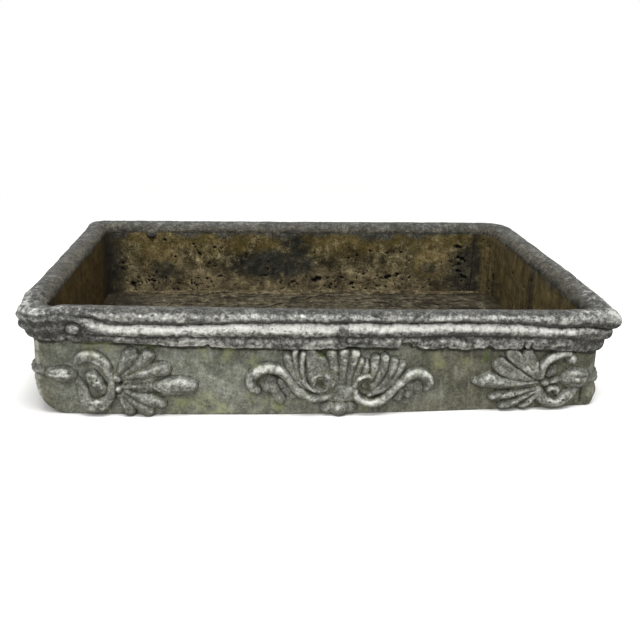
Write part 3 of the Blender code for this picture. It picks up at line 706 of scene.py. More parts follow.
def make_husks():
    for corner, lobes in HUSKS.items():
        side_x, side_y = sides_of(corner)
        place = lambda run, up, out: corner_point(side_x, side_y, run, up, out)
        relief = lambda run, up: husk_relief(lobes, run, up)
        relief_casting("husk_" + corner, HUSK_SPAN, SMALL_FINE, relief, place, 90 + len(corner), ornament_finish,
                       "ornament")


# Walls

# Holes are this much wider than tall. Scattered ones lie in a band, from its foot over its height, in mm
HOLE_SQUASH = 1.25
HOLES_FROM = 14
HOLES_BAND = 66


def hole_field(along, up, holes):
    """Depth of a scatter of ragged holes, each (along, up, radius, depth) in mm."""
    depth = np.zeros(along.shape)
    ragged_along, ragged_up = wander(along, up, 930)
    for centre_along, centre_up, radius, deep in holes:
        row = np.abs(along[:, 0] - centre_along * MM) < (radius * 1.5 + 2) * MM
        if row.any():
            off = np.hypot(ragged_along[row] - centre_along * MM, (ragged_up[row] - centre_up * MM) * HOLE_SQUASH)
            part = np.clip(1 - (off / (radius * HOLE_SQUASH * MM)) ** 2, 0, 1) * deep * MM
            depth[row] = np.maximum(depth[row], part)
    return depth


# Holes and cracks seen in the inner face of the back wall, as (along, up, radius, depth) in mm
NAMED_HOLES = ((194, 71, 2.4, 3.0), (198, 70, 1.8, 2.6), (197, 57, 2.4, 3.0), (202, 55, 2.6, 3.0), (206, 52, 2.0, 2.6),
               (197, 39, 2.3, 2.8), (201, 38, 1.8, 2.4), (204, 32, 2.4, 2.8), (208, 31, 1.8, 2.4),
               (105, 30, 3.0, 3.0), (109, 31, 2.4, 3.0), (12, 25, 3.0, 3.5), (15, 28, 2.6, 3.0), (18, 27, 2.4, 3.0),
               (60, 22, 2.6, 2.5), (119, 34, 2.4, 2.5), (-209, 22, 2.8, 3.0), (-135, 73, 1.6, 2.2),
               (-133, 69, 1.4, 2.0), (-131, 65, 1.4, 2.0), (-129, 61, 1.7, 2.4), (-128, 59, 1.5, 2.2))


def scattered_holes(span, count, seed, clusters=()):
    """Small holes, most of them low on the wall, in drifts and round the given clusters (along, up, spread)."""
    chance = np.random.default_rng(seed)
    holes = []
    while len(holes) < count:
        along = chance.uniform(-span, span)
        up = HOLES_FROM + HOLES_BAND * chance.random() ** 1.9
        drift = noise(np.array([[along, up * 2.2, 7.0]]), 34.0, seed)[0]
        if drift + chance.random() > 0.55:
            holes.append((along, up, 0.6 + 1.3 * chance.random() ** 2, 0.8 + 1.5 * chance.random()))
    for centre, middle, spread, number in clusters:
        for _ in range(number):
            along = centre + chance.normal() * spread
            up = HOLES_FROM + abs(middle - HOLES_FROM + chance.normal() * spread * 0.5)
            holes.append((along, up, 0.6 + 1.1 * chance.random() ** 2, 1.0 + 1.4 * chance.random()))
    return holes


# Clusters of holes in the inner face of the back wall, as (along, up, spread, number)
HOLE_CLUSTERS = ((-205, 26, 9, 22), (-188, 22, 10, 20), (-150, 24, 10, 14), (-118, 22, 12, 16), (-20, 22, 9, 14),
                 (25, 27, 12, 14), (70, 30, 16, 20), (118, 32, 14, 16), (196, 48, 9, 20), (208, 30, 8, 16),
                 (-222, 46, 7, 12))


# How far apart the inner ends of a long wall's first stations lie, and where its faces end above its foot
CREEP = 0.06 * MM
OUTER_FROM = 2.2 * MM
INNER_FROM = 9 * MM


def wall_stations(outer_step):
    """Outer and inner plan lines of a long wall that wraps its two corners, point for point."""
    bend = half_x - CORNER_RADIUS
    turn = np.linspace(0, math.pi / 2, 10)
    edge = np.linspace(inner_y, half_y - CORNER_RADIUS, 4)[:-1]
    left = [(-half_x, y) for y in edge]
    left += [(-bend - CORNER_RADIUS * math.cos(a), half_y - CORNER_RADIUS + CORNER_RADIUS * math.sin(a)) for a in turn]
    middle = np.linspace(-bend, bend, int(2 * bend / outer_step))[1:-1]
    outer = left + [(x, half_y) for x in middle] + [(-x, y) for x, y in reversed(left)]
    wrap = [-inner_x + CREEP * index for index in range(len(left))]
    reach = -wrap[-1]
    straight = middle / bend * (reach - CREEP)
    inner = wrap + straight.tolist() + [-x for x in reversed(wrap)]
    return np.array(outer), np.stack((inner, np.full(len(inner), inner_y)), axis=-1)


def wall_section(outer_step, inner_step):
    """(share of the way from the inner to the outer face, height) round a wall, and where the inner face is."""
    foot = [(0.5, 0), (0.88, 0), (0.96, 0.35 * MM), (0.995, 1.1 * MM)]
    outer = [(1, z) for z in np.arange(OUTER_FROM, rim_foot + 3 * MM, outer_step)]
    hidden = [(1, z) for z in np.linspace(rim_foot + 6 * MM, wall_top, 4)]
    inner = [(0, z) for z in np.linspace(wall_top, INNER_FROM, int((wall_top - INNER_FROM) / inner_step))]
    section = foot + outer + hidden + inner + [(0, 4 * MM), (0.02, 0)]
    first = len(foot) + len(outer) + len(hidden)
    return np.array(section), slice(first - 1, first + len(inner))


# Layers of unevenness as (size of its features, height of them, seed), sizes and heights in mm
GROUND_LAYERS = ((26, 0.45, 0), (3.5, 0.16, 5))
INSIDE_LAYERS = (((22, 22, 14), 1.0, 300), (5, 0.5, 320))
RIM_LAYERS = (((15, 15, 7), 0.5, 600), (2.8, 0.28, 620))
BLOCK_LAYERS = (((11, 11, 6), 0.7, 640),)


def unevenness(points, layers, seed=0):
    """How far worn layers lift each point, in metres."""
    return sum(rough(points, np.array(size) * MM, seed + own, 3) * tall * MM for size, tall, own in layers)


# Grid on which the ornaments' nearness is worked out, and how often it is softened
GRID_STEP = 1 * MM
GRID_TOP = 66 * MM
NEAR_ROUNDS = 5
WIDE_ROUNDS = 60


def nearby(face, along, up):
    """How close the ornaments of a face crowd each point of its ground: near and wide, 0 to 1."""
    step = GRID_STEP
    reach = half_x if face in ("front", "back") else half_y
    grid_along = np.arange(-reach, reach + step, step)
    grid_up = np.arange(0, GRID_TOP, step)
    grid = np.meshgrid(grid_along, grid_up, indexing="ij")
    covered = (face_relief(face, *grid) > 0).astype(float)
    near = soften(covered, NEAR_ROUNDS)
    wide = soften(near, WIDE_ROUNDS)
    column = np.clip((along + reach) / step, 0, len(grid_along) - 1.001)
    row = np.clip(up / step, 0, len(grid_up) - 1.001)
    i, j = column.astype(int), row.astype(int)
    s, t = column - i, row - j
    result = []
    for field in (near, wide):
        result.append((field[i, j] * (1 - s) + field[i + 1, j] * s) * (1 - t)
                      + (field[i, j + 1] * (1 - s) + field[i + 1, j + 1] * s) * t)
    return result


def blotch(points, centre, sizes, edge, seed):
    """An uneven round patch: 1 inside, 0 outside. Centre and sizes in mm."""
    off = np.zeros(points.shape[:-1])
    for axis in range(3):
        if sizes[axis]:
            off = off + ((points[..., axis] / MM - centre[axis]) / sizes[axis]) ** 2
    ragged = np.sqrt(off) + rough(points, 16 * MM, seed, 4) * 0.45
    return 1 - between(ragged, 1 - edge, 1 + edge)


# Stains of the inner faces: strength, centre and sizes in mm (0 along an axis that doesn't count), edge and seed
OCHRE_STAINS = ((1, (160, 0, 50), (21, 0, 17), 0.35, 421), (1, (-53, 0, 67), (12, 0, 7), 0.3, 422),
                (0.7, (-180, 0, 60), (26, 0, 20), 0.4, 423))
PALE_STAINS = ((1, (160, 0, 52), (19, 0, 15), 0.4, 424), (0.5, (-165, 0, 52), (22, 0, 14), 0.4, 425))
SLATE_STAINS = ((1, (-42, 0, 45), (52, 0, 18), 0.42, 431), (1, (-14, 0, 66), (18, 0, 24), 0.42, 432),
                (0.8, (-172, 0, 40), (15, 0, 13), 0.3, 433), (0.6, (161, 0, 44), (11, 0, 9), 0.4, 434),
                (0.8, (208, 0, 35), (20, 0, 40), 0.4, 435))
RIGHT_STAINS = ((0.9, (0, 2, 70), (0, 9, 60), 0.4, 441), (0.85, (0, -40, 96), (0, 90, 13), 0.6, 442),
                (0.7, (0, 104, 18), (0, 26, 24), 0.6, 443), (0.5, (0, 118, 84), (0, 16, 14), 0.5, 444))
RIM_STAINS = ((10, (-180, 0, 88), (22, 0, 30), 0.5, 436),)


def stains(points, table):
    """The strongest of several ragged stains at each place."""
    return np.maximum.reduce([strength * blotch(points, *stain) for strength, *stain in table])


def inside_masks(points):
    """Stains of the inner faces, and the painted shade of the corners. Limits are in mm."""
    height = points[..., 2] / MM
    ragged = rough(points, 20 * MM, 410, 4)
    from_end = (inner_x - np.abs(points[..., 0])) / MM
    from_long = (inner_y - np.abs(points[..., 1])) / MM
    left, back = points[..., 0] < 0, points[..., 1] > 0
    back_right = back & ~left
    end = between(from_long - from_end + 9 * back_right, -2, 2)
    ochre = np.maximum.reduce((between(height + 14 * ragged, 56, 74) * 0.8, back * stains(points, OCHRE_STAINS),
                               0.7 * end * ~left))
    slate = np.maximum(back * stains(points, SLATE_STAINS) * (1 - end), end * ~left * stains(points, RIGHT_STAINS))
    upper = between(height + 9 * ragged - back * stains(points, RIM_STAINS), 79, 88)
    # Painted shade: dark in the inner corners, widest at the left end, and as a line in from the back right corner
    corner = 1 - between(from_end + 0.55 * from_long + 9 * ragged, 4, np.where(left, 30, 20))
    corner_shade_line = 0.9 * hump(from_end - 16 + 8 * ragged, 0, 5.5)
    dark = np.where(back_right, corner_shade_line, corner)
    tan = (1 - between(height + 10 * ragged, 34, 50)) * (1 - dark)
    return {"ochre": ochre, "slate": slate * (1 - 0.6 * dark), "upper": upper, "dark": dark, "tan": tan, "end": end,
            "pale": back * stains(points, PALE_STAINS), "umber": end * left}


def darker_browner(points):
    """Where the outside is darker and browner: most of its right-hand half, its ends and a little at its foot."""
    ragged = rough(points, (45 * MM, 45 * MM, 22 * MM), 470, 4)
    x = points[..., 0] / MM
    foot = 0.42 * between(points[..., 2] / MM + 12 * ragged, 26, 6)
    return np.maximum.reduce((between(x + 70 * ragged, 55, 130), between(-x + 16 * ragged, 222, 240), foot))


def painted_rim_shadow(points, front):
    """Painted shadow: the dark line just under the rim's foot."""
    foot = front_foot(points[..., 0]) if front else PLAIN_FOOT
    below = (foot - points[..., 2]) / MM
    return between(below, 6.0, 4.2)


# Crusts of yellow lichen and tufts of moss seen on the front, as (along, up, radius) in mm
CRUSTS = ((-63, 51, 5), (-57, 45, 3.5), (-84, 56, 6), (-104, 54, 4), (-40, 8, 6), (-64, 17, 5.5), (-52, 12, 4),
          (96, 55, 4), (100, 50, 5), (123, 49, 4.5), (-196, 60, 8), (-184, 57, 5), (-106, 10, 9), (-126, 8, 6),
          (-90, 6, 7), (36, 9, 5))
TUFTS = ((-5, 58, 3.6), (2, 61, 2.4), (141, 56, 4.5), (137, 50, 3), (-148, 60, 3), (66, 56, 3), (216, 26, 3),
         (233, 12, 3))


def spots_of(points, spots, seed):
    """Ragged spots on the front."""
    x, z = points[..., 0] / MM, points[..., 2] / MM
    ragged = rough(points, 6 * MM, seed, 4)
    shade = np.zeros(x.shape)
    for along, up, radius in spots:
        off = np.hypot(x - along, z - up) / radius + 1.3 * ragged
        shade = np.maximum(shade, between(off, 1.8, 0.2))
    return shade * (points[..., 1] < -half_y + 2 * MM)


def corner_lump(points):
    """A lump of the right front corner below its husk, and a crease beside it."""
    x, z = points[..., 0] / MM, points[..., 2] / MM
    near_front = between(-points[..., 1], inner_y - 14 * MM, inner_y - 2 * MM)
    lump = np.exp(-((x - 243) / 7) ** 2 - ((z - 15) / 11) ** 2) * 3.4 * MM
    crease = np.exp(-((x - 232.5) / 1.5) ** 2 - ((z - 16) / 10) ** 2) * 1.8 * MM
    return near_front * (lump - crease)


def long_wall_points(side, outer_step, inner_step):
    """Points of a long wall, station by station, and where its inner face is among them."""
    outer_line, inner_line = wall_stations(outer_step)
    section, inner_part = wall_section(outer_step, inner_step)
    plan = inner_line[:, None, :] + (outer_line - inner_line)[:, None, :] * section[:, 0][None, :, None]
    return places(plan[..., 0], side * plan[..., 1], section[:, 1]), inner_part


def end_wall_points(side):
    """The same for an end wall, which stands between the long walls."""
    reach = inner_y - JOINT_GAP
    section, inner_part = wall_section(COARSE, END_INSIDE)
    along = np.linspace(-reach, reach, int(2 * reach / COARSE))
    return places(side * (inner_x + WALL * section[:, 0]), along[:, None], section[:, 1]), inner_part


def make_wall(face, points, inner_part, holes, seed):
    """Weather one wall's points, note its rubbed and soiled places and its painted shade, and cast it."""
    front, long = face == "front", face in ("front", "back")
    normal = directions(points)
    normal[:, inner_part.start + 1] = normal[:, inner_part.start + 2]
    inside = np.zeros(points.shape[:2], bool)
    inside[:, inner_part] = True
    along = points[..., 0] if long else points[..., 1]
    holes = hole_field(along, points[..., 2], holes)
    ground = unevenness(points, GROUND_LAYERS, seed)
    away = np.where(inside, unevenness(points, INSIDE_LAYERS) - holes, ground)
    if face in ("front", "right"):
        away = away + corner_lump(points)
    points = points + normal * (away * between(points[..., 2], 0, 2 * MM))[..., None]
    from_outside = 1 if face in ("front", "right") else -1
    near, wide = nearby(face, from_outside * (points[..., 0] if long else points[..., 1]), points[..., 2])
    proud = standing(points, directions(points), 6) / PROUD_FULL
    # Painted shade: hollows, the ground round the ornaments and a line under the rim are marked low; on the inner face
    # the holes are marked low to be painted dark
    low = np.maximum.reduce((np.clip(-proud, 0, 1), near * 0.75, painted_rim_shadow(points, front)))
    masks = {"high": proud, "low": np.where(inside, holes / MM, low), "wide": np.where(inside, 0, wide),
             "darker_browner": darker_browner(points), **inside_masks(points)}
    if front:
        near_corner = between(-points[..., 0], half_x - 7 * MM, half_x - 3 * MM)
        arris = near_corner * between(-points[..., 1], half_y - 14 * MM, half_y - 8 * MM)
        masks["arris"] = np.where(inside, 0, arris * (0.7 + rough(points, 5 * MM, 880, 3)))
    following = np.roll(inside, -1, axis=1)
    inner_faces = np.append((inside & following)[:-1].ravel().astype(int), (0, 0))
    casting(face + "_wall", points, swept_faces(*points.shape[:2]), wall_finish, SLOTS["wall"], masks, inner_faces,
            inner_finish)


def make_walls():
    make_wall("front", *long_wall_points(-1, MEDIUM, FRONT_INSIDE), scattered_holes(228, 60, 6), 200)
    make_wall("back", *long_wall_points(1, COARSE, BACK_INSIDE),
              list(NAMED_HOLES) + scattered_holes(228, 120, 5, HOLE_CLUSTERS), 260)
    for face, side in (("left", -1), ("right", 1)):
        make_wall(face, *end_wall_points(side), scattered_holes(130, 40, 8), 200)


# How far a fillet's edges run into the walls and lie back from its hollow, and how full it is
SEAM_KEY = 1.2 * MM
SEAM_BACK = 1.5 * MM
SEAM_FULL = 0.15 * MM


def make_seams():
    """Hollow fillets of mortar up the inside corners."""
    for corner, (_, radius, _) in RIM_CORNERS.items():
        side_x, side_y = sides_of(corner)
        angle = np.linspace(0, math.pi / 2, 18)
        spread = np.concatenate(([0], angle, [math.pi / 2]))
        hollow = np.stack((inner_x - radius + radius * np.cos(spread),
                           inner_y - radius + radius * np.sin(spread)), axis=-1)
        hollow[0] += (SEAM_KEY, -SEAM_BACK)
        hollow[-1] += (-SEAM_BACK, SEAM_KEY)
        plan = np.concatenate((hollow, [(inner_x + SEAM_KEY, inner_y + SEAM_KEY)]))
        heights = np.linspace(BASE_THICKNESS - 2 * MM, wall_top, 60)
        points = places(side_x * plan[:, 0], side_y * plan[:, 1], heights[:, None])
        normal = places(np.append(-side_x * np.cos(spread), 0), np.append(-side_y * np.sin(spread), 0), 0)
        points = points + normal * (unevenness(points, INSIDE_LAYERS) + SEAM_FULL)[..., None]
        proud = standing(points, normal, 4)
        # Painted shade: the fillets' hollows are marked low, to go near black
        masks = {"high": proud / PROUD_FULL, "low": -proud / (0.6 * MM), **inside_masks(points)}
        casting("seam_" + corner, points, swept_faces(*points.shape[:2]), inner_finish, SLOTS["joint"], masks)


# Cracks seen in the floor, as plan lines in mm
CRACKS = (((-54, 78), (-44, 85), (-30, 95)), ((-19, 108), (-9, 113), (-1, 116)), ((2, 110), (14, 116), (23, 121)),
          ((27, 118), (35, 113)), ((-128, 122), (-112, 130), (-95, 133)), ((-160, 96), (-140, 101), (-118, 99)),
          ((60, 100), (84, 108), (110, 106)))


CRACK_REACH = 3 * MM

# The floor: the band of closer points along its edge, how far it runs into the walls, the ring of points drawn to a
# drain's edge, and how high its forms stand: folds, a mound (middle and half sizes), a bank and the drains' dips
FLOOR_BAND = 14 * MM
FLOOR_KEY = 1.5 * MM
DRAIN_RING = 1.25 * MM
FLOOR_SUNK = 1.5 * MM
FOLD_HEIGHT = 1.1 * MM
MOUND_MIDDLE = (70 * MM, 60 * MM)
MOUND_SIZES = (90 * MM, 50 * MM)
MOUND_HEIGHT = 3 * MM
BANK_WIDTH = 3.5 * MM
BANK_HEIGHT = 1.2 * MM
DIP_WIDTH = 6 * MM
DIP_DEPTH = 1.5 * MM
GRIT_HEIGHT = 0.4 * MM
CRACK_DEPTH = 1.2 * MM


def crack_depth(x, y):
    """Depth of the floor's cracks, 0 to 1."""
    depth = np.zeros(x.shape)
    for line in CRACKS:
        points = smooth_line(line) * MM
        for start, end in zip(points[:-1], points[1:]):
            _, off = beside(x, y, start, end)
            depth = np.maximum(depth, np.clip(1 - off / CRACK_REACH, 0, 1))
    return depth


def make_base():
    """Silted floor, creased and mounded, rising into the walls, with two drain holes."""
    lines = []
    for reach, count in ((inner_x, 200), (inner_y, 118)):
        near = np.linspace(reach - FLOOR_BAND, reach + FLOOR_KEY, 12)
        middle = np.linspace(-reach + FLOOR_BAND, reach - FLOOR_BAND, count)[1:-1]
        lines.append(np.concatenate((-near[::-1], middle, near)))
    x, y = np.meshgrid(*lines, indexing="ij")
    open_cell = np.zeros(x.shape, bool)
    for side in (-1, 1):
        off_x, off_y = x - side * DRAIN_X, y
        distance = np.hypot(off_x, off_y)
        rim = np.abs(distance - DRAIN_RADIUS) < DRAIN_RING
        x = np.where(rim, side * DRAIN_X + off_x / distance * DRAIN_RADIUS, x)
        y = np.where(rim, off_y / distance * DRAIN_RADIUS, y)
        open_cell |= distance < DRAIN_RADIUS - DRAIN_RING
    flat = places(x, y, 0)
    folds = 1 - np.abs(rough(flat, (46 * MM, 13 * MM, 9 * MM), 510, 4)) * 2.4
    mound = np.exp(-((x - MOUND_MIDDLE[0]) / MOUND_SIZES[0]) ** 2 - ((y - MOUND_MIDDLE[1]) / MOUND_SIZES[1]) ** 2)
    to_wall = np.minimum(inner_x - np.abs(x), inner_y - np.abs(y))
    bank = np.exp(-np.clip(to_wall, 0, None) / BANK_WIDTH) * BANK_HEIGHT
    to_drain = np.minimum(np.hypot(x - DRAIN_X, y), np.hypot(x + DRAIN_X, y)) - DRAIN_RADIUS
    dip = np.exp(-np.clip(to_drain, 0, None) / DIP_WIDTH) * DIP_DEPTH
    top = BASE_THICKNESS - FLOOR_SUNK + folds * FOLD_HEIGHT + mound * MOUND_HEIGHT + bank - dip
    cracks = crack_depth(x, y)
    top = top + rough(flat, 7 * MM, 520, 3) * GRIT_HEIGHT - cracks * CRACK_DEPTH
    used = ~open_cell
    cell = used[:-1, :-1] & used[1:, :-1] & used[1:, 1:] & used[:-1, 1:]
    # Painted shade: hollows, cracks and a crease near the walls are marked low, and the floor towards its ends,
    # furthest at the left, is marked dark
    proud = (top - soften(top, 8)) / (0.5 * MM)
    crevice = hump(to_wall / MM, 11, 1.6) * between(rough(flat, 24 * MM, 540, 3), -0.3, 0.1)
    low = np.maximum.reduce((-proud, 1.3 * cracks, 1.2 * crevice))
    ragged = rough(flat, 18 * MM, 530, 4)
    from_end = (inner_x - np.abs(x)) / MM + 14 * ragged
    masks = {"high": proud, "low": low, "edge": between(to_wall / MM + 9 * ragged, 14, 8),
             "dark": 1 - between(from_end, 6, np.where(x < 0, 60, 22))}
    points, faces, masks = grid_solid(places(x, y, top), flat, cell, masks)
    casting("base_slab", points, faces, floor_finish, SLOTS["base"], masks)


# Rim

def rim_section(groove, lower_groove, foot, swell, block, tuck, apex=0.0, roll=ROLL_DEPTH):
    """Mouldings at each station as (out, height, chalk), round from the inner foot. Arguments are columns."""
    one = np.ones_like(groove)
    none = 0 * one
    top = (HEIGHT - TOP_INSET - CORNER_DROP * apex) * one
    most = rim_band - OUT_INSET + swell
    inner = np.array([[cap_foot, cap_foot + 0.12 * MM, (cap_foot + LIP_FOOT) / 2]])
    turn = np.radians(np.linspace(0, 90, 17))[None, :-1]
    crown_out = (most - roll - (BLOCK_DEPTH - roll) * block) * (1 - np.cos(turn))
    crown_height = LIP_FOOT + (top - LIP_FOOT) * np.sin(turn)
    turn = np.radians(np.linspace(90, -ROLL_TURN, 18))[None]
    tall = (top - groove) / (1 + math.sin(math.radians(ROLL_TURN)))
    roll_out = most - roll + roll * np.cos(turn)
    roll_height = top - tall + tall * np.sin(turn)
    roll_chalk = 0.02 + 0.27 * hump(turn, 0.15, 0.55) - 0.3 * (turn < -0.75)
    turn = np.radians(np.linspace(BEAD_TURN, -BEAD_TURN, 18))[None]
    tall = (groove - lower_groove) / 2 - GROOVE_WIDTH
    bead_out = most - BEAD_STEP - BEAD_DEPTH + BEAD_DEPTH * np.cos(turn) - 0.7 * tuck
    bead_height = (groove + lower_groove) / 2 + tall * np.sin(turn) / math.sin(math.radians(BEAD_TURN))
    # The bead's chalk is fullest above its middle and fades downwards, partly as painted highlight of overhead light
    bead_chalk_and_highlight = 0.14 + 0.9 * hump(turn, BEAD_CREST, np.where(turn > BEAD_CREST, 0.75, 0.55))
    share = np.linspace(0, 1, 10)[None]
    fillet_out = most - FILLET_STEP - FILLET_RAKE * share + FILLET_SWELL * np.sin(math.pi * share) - tuck
    fillet_height = lower_groove - GROOVE_WIDTH - (lower_groove - GROOVE_WIDTH - foot) * share
    fillet_chalk = 0.2 + 0.16 * np.sin(math.pi * np.clip(share * 1.4, 0, 1))
    face_out = np.concatenate((one * roll_out, bead_out, fillet_out), axis=1)
    face_height = np.concatenate((roll_height, bead_height, fillet_height), axis=1)
    face_chalk = np.concatenate((roll_chalk, bead_chalk_and_highlight, fillet_chalk), axis=1)
    share = np.linspace(0, 1, face_out.shape[1])[None] ** 1.5
    shoulder = BLOCK_DEPTH * (1 - np.sqrt(1 - np.clip(1 - share / 0.26, 0, 1) ** 2))
    under = (BLOCK_UNDER + CORNER_UNDER * apex) * np.clip((share - 0.56) / 0.44, 0, 1) ** 1.5
    ridges = BLOCK_RIDGE * np.cos(math.tau * BLOCK_RIDGES * share) * between(share, 0.1, 0.3)
    block_out = np.maximum(most - shoulder - under + ridges, WALL + BLOCK_LEAST)
    block_height = top + (foot - top) * share
    face_out = face_out + (block_out - face_out) * block
    face_height = face_height + (block_height - face_height) * block
    face_chalk = face_chalk + (BLOCK_CHALK - face_chalk) * np.clip(block * 1.2, 0, 1)
    share = np.array([[0.35, 0.7, 1.0]])
    under_out = face_out[:, -1:] + (WALL + JOINT_GAP - face_out[:, -1:]) * share
    under_height = face_height[:, -1:] + 0.6 * MM * share
    back_out = one * np.array([[WALL + JOINT_GAP, JOINT_GAP]])
    back_height = one * np.array([[cap_foot, cap_foot]])
    out = (none * inner, one * crown_out, face_out, under_out, back_out)
    height = (one * inner, one * crown_height, face_height, under_height, back_height)
    chalk = (none * inner, none * crown_out, one * face_chalk, one * np.zeros((1, RIM_HIDDEN)))
    return [np.concatenate(parts, axis=1) for parts in (out, height, chalk)]


# Rings of the rim's section, counted from its inner foot: its lip, its inner slope, all its top, and its hidden back
LIP_RINGS = 4
SLOPE_RINGS = 21
TOP_RINGS = 32
RIM_HIDDEN = 5

# A round knob on the front rim, near its left end: its place, size, and the ring round it in shares of its radius
KNOB = np.array((-207.5, -158.5, 77.5)) * MM
KNOB_RADIUS = 5.2 * MM
KNOB_HEIGHT = 2.3 * MM
KNOB_RING = 1.25

# Width of the middle joints' dark edges in mm, and how far from their middle the chalk is gone
JOINT_EDGE = 0.9
JOINT_CLEAN = 5.5 * MM


def ragged_foot(along, line, broken):
    """Height of a rim's worn foot, broken away here and there."""
    ragged = rough(places(along, 650, 0), 11 * MM, 654, 4)
    return line + (ragged * 0.9 * MM + 2.2 * MM * between(ragged, 0.35, 0.6)) * broken


def front_foot(along):
    return ragged_foot(along, along_table(along, FRONT_FOOT), 1 + 0.8 * between(along, -40 * MM, 0))


def rim_heights(face, along, seed):
    """Groove, lower groove and ragged foot at places along a face."""
    spots = places(along, seed, 0)
    if face == "front":
        groove, lower = (along_table(along, table) for table in (FRONT_GROOVE, FRONT_LOWER_GROOVE))
        foot = front_foot(along)
    else:
        groove = PLAIN_GROOVE + rough(spots, 60 * MM, seed, 2) * 1.6 * MM
        lower = PLAIN_LOWER_GROOVE + rough(spots, 60 * MM, seed + 3, 2) * 1.4 * MM
        foot = ragged_foot(along, PLAIN_FOOT, 1)
    groove = groove + rough(spots, 11 * MM, seed + 1, 4) * 0.9 * MM
    lower = lower + rough(spots, 9 * MM, seed + 2, 4) * 1.0 * MM
    return groove[:, None], lower[:, None], foot[:, None]


def soil_share(points):
    """How far soil has stained the rim, from its inner edge outwards: most in the middle of the ends."""
    x, y = np.abs(points[..., 0]), np.abs(points[..., 1])
    over = np.maximum(x - inner_x, y - inner_y) / MM
    at_end = between(x - inner_x, y - inner_y, y - inner_y + 8 * MM)
    reach = 3.5 + at_end * 4 * np.clip(1 - (y / (135 * MM)) ** 2, 0, 1)
    ragged = rough(points, 16 * MM, 480, 4) * 4
    return between(over + ragged, reach + 5, reach - 4)


def bleached(points):
    """How far the tops of the two front corners have bleached."""
    x, y = points[..., 0] / MM, points[..., 1] / MM
    right = 0.17 * between(x, 175, 235) * between(-y, -110, 120)
    left = 0.13 * between(-x, 200, 235) * between(-y, 60, 140)
    return right + left


def joint_line(points):
    """The open edges of the middle joints of the long rims."""
    off = np.abs(np.abs(points[..., 0] - MIDDLE_JOINT_X) - MIDDLE_JOINT / 2) / MM
    open_edge = between(rough(points, 3 * MM, 490, 3), -0.5, 0.3)
    return hump(off, 0, JOINT_EDGE) * open_edge * (np.abs(points[..., 1]) > inner_y)


def rim_casting(name, points, chalk, block, slot):
    """Weather a swept rim, note its rubbed and soiled places and its painted shade, and cast it."""
    normal = directions(points)
    normal[:, 0] = normal[:, 1]
    ring = np.arange(points.shape[1])
    hidden = ring >= len(ring) - RIM_HIDDEN
    soil = soil_share(points)
    share = between(points[..., 2], 97 * MM, 89 * MM) * (ring < SLOPE_RINGS)
    away = unevenness(points, RIM_LAYERS) + unevenness(points, BLOCK_LAYERS) * block
    away = unevenness(points, INSIDE_LAYERS) * share + away * (1 - share)
    off = np.linalg.norm(points - KNOB, axis=-1) / KNOB_RADIUS
    away = away + KNOB_HEIGHT * (np.clip(1 - off ** 4, 0, 1) - 0.5 * hump(off, KNOB_RING, 0.16))
    points = points + normal * np.where(hidden, 0, away)[..., None]
    facing = directions(points)
    proud, close = (standing(points, facing, rounds) / MM * (ring >= LIP_RINGS) for rounds in (7, 2))
    # Painted shade along the rim's foot, and in its grooves and hollows, through the low mask
    foot_shade = np.where(ring >= len(ring) - RIM_HIDDEN - 1, 0.9, 0 * proud)
    drift = rough(points, (55 * MM, 55 * MM, 20 * MM), 660, 2) * 0.2
    drift = drift + rough(points, (14 * MM, 6 * MM, 5 * MM), 670, 3) * 0.3
    relief = between(proud, -0.25, 0.5) - 0.4
    chalk = chalk + bleached(points) * ((ring >= LIP_RINGS) & (ring < TOP_RINGS))
    masks = {
        "high": (chalk + (drift + relief * 0.5) * between(chalk, 0.04, 0.2)) * (1 - soil),
        "low": np.maximum.reduce((between(-proud, 0.15, 0.7), between(-close, 0.05, 0.22), joint_line(points),
                                  foot_shade)),
        "soil": soil,
    }
    casting(name, points, swept_faces(*points.shape[:2]), rim_finish, SLOTS[slot], masks)


def chalk_share(face, along):
    """How white the rubbed mouldings are along a face: fullest left of the middle of the front."""
    if face != "front":
        return np.full(along.shape, 0.72)
    at_joint = hump(along, MIDDLE_JOINT_X, JOINT_CLEAN)
    return 0.48 + 0.54 * between(along / MM, -218, -150) * between(along / MM, 260, 90) - 0.5 * at_joint


def straight_rim(name, face, start, end, step, slot="rim", swell=0.0, seed=0):
    along = np.linspace(start, end, max(3, int((end - start) / step)))
    groove, lower, foot = rim_heights(face, along, 650 + seed)
    bump = swell * np.sin(np.linspace(0, math.pi, len(along)))[:, None]
    block = np.full((len(along), 1), 0.35 if swell else 0.0)
    if face == "front":
        block = np.maximum(block, between(along, -188 * MM, -210 * MM)[:, None])
    if face == "left":
        bump = bump - END_INSET * between(along, RIM_WIDTH / 2 - 15 * MM, RIM_WIDTH / 2 - 80 * MM)[:, None]
    roll = END_ROLL if face == "left" else ROLL_DEPTH
    out, height, chalk = rim_section(groove, lower, foot, bump, block, 0 * block, roll=roll)
    chalk = chalk * chalk_share(face, along)[:, None]
    points = face_point(face, np.broadcast_to(along[:, None], out.shape), height, out - WALL)
    rim_casting(name, points, chalk, block, slot)


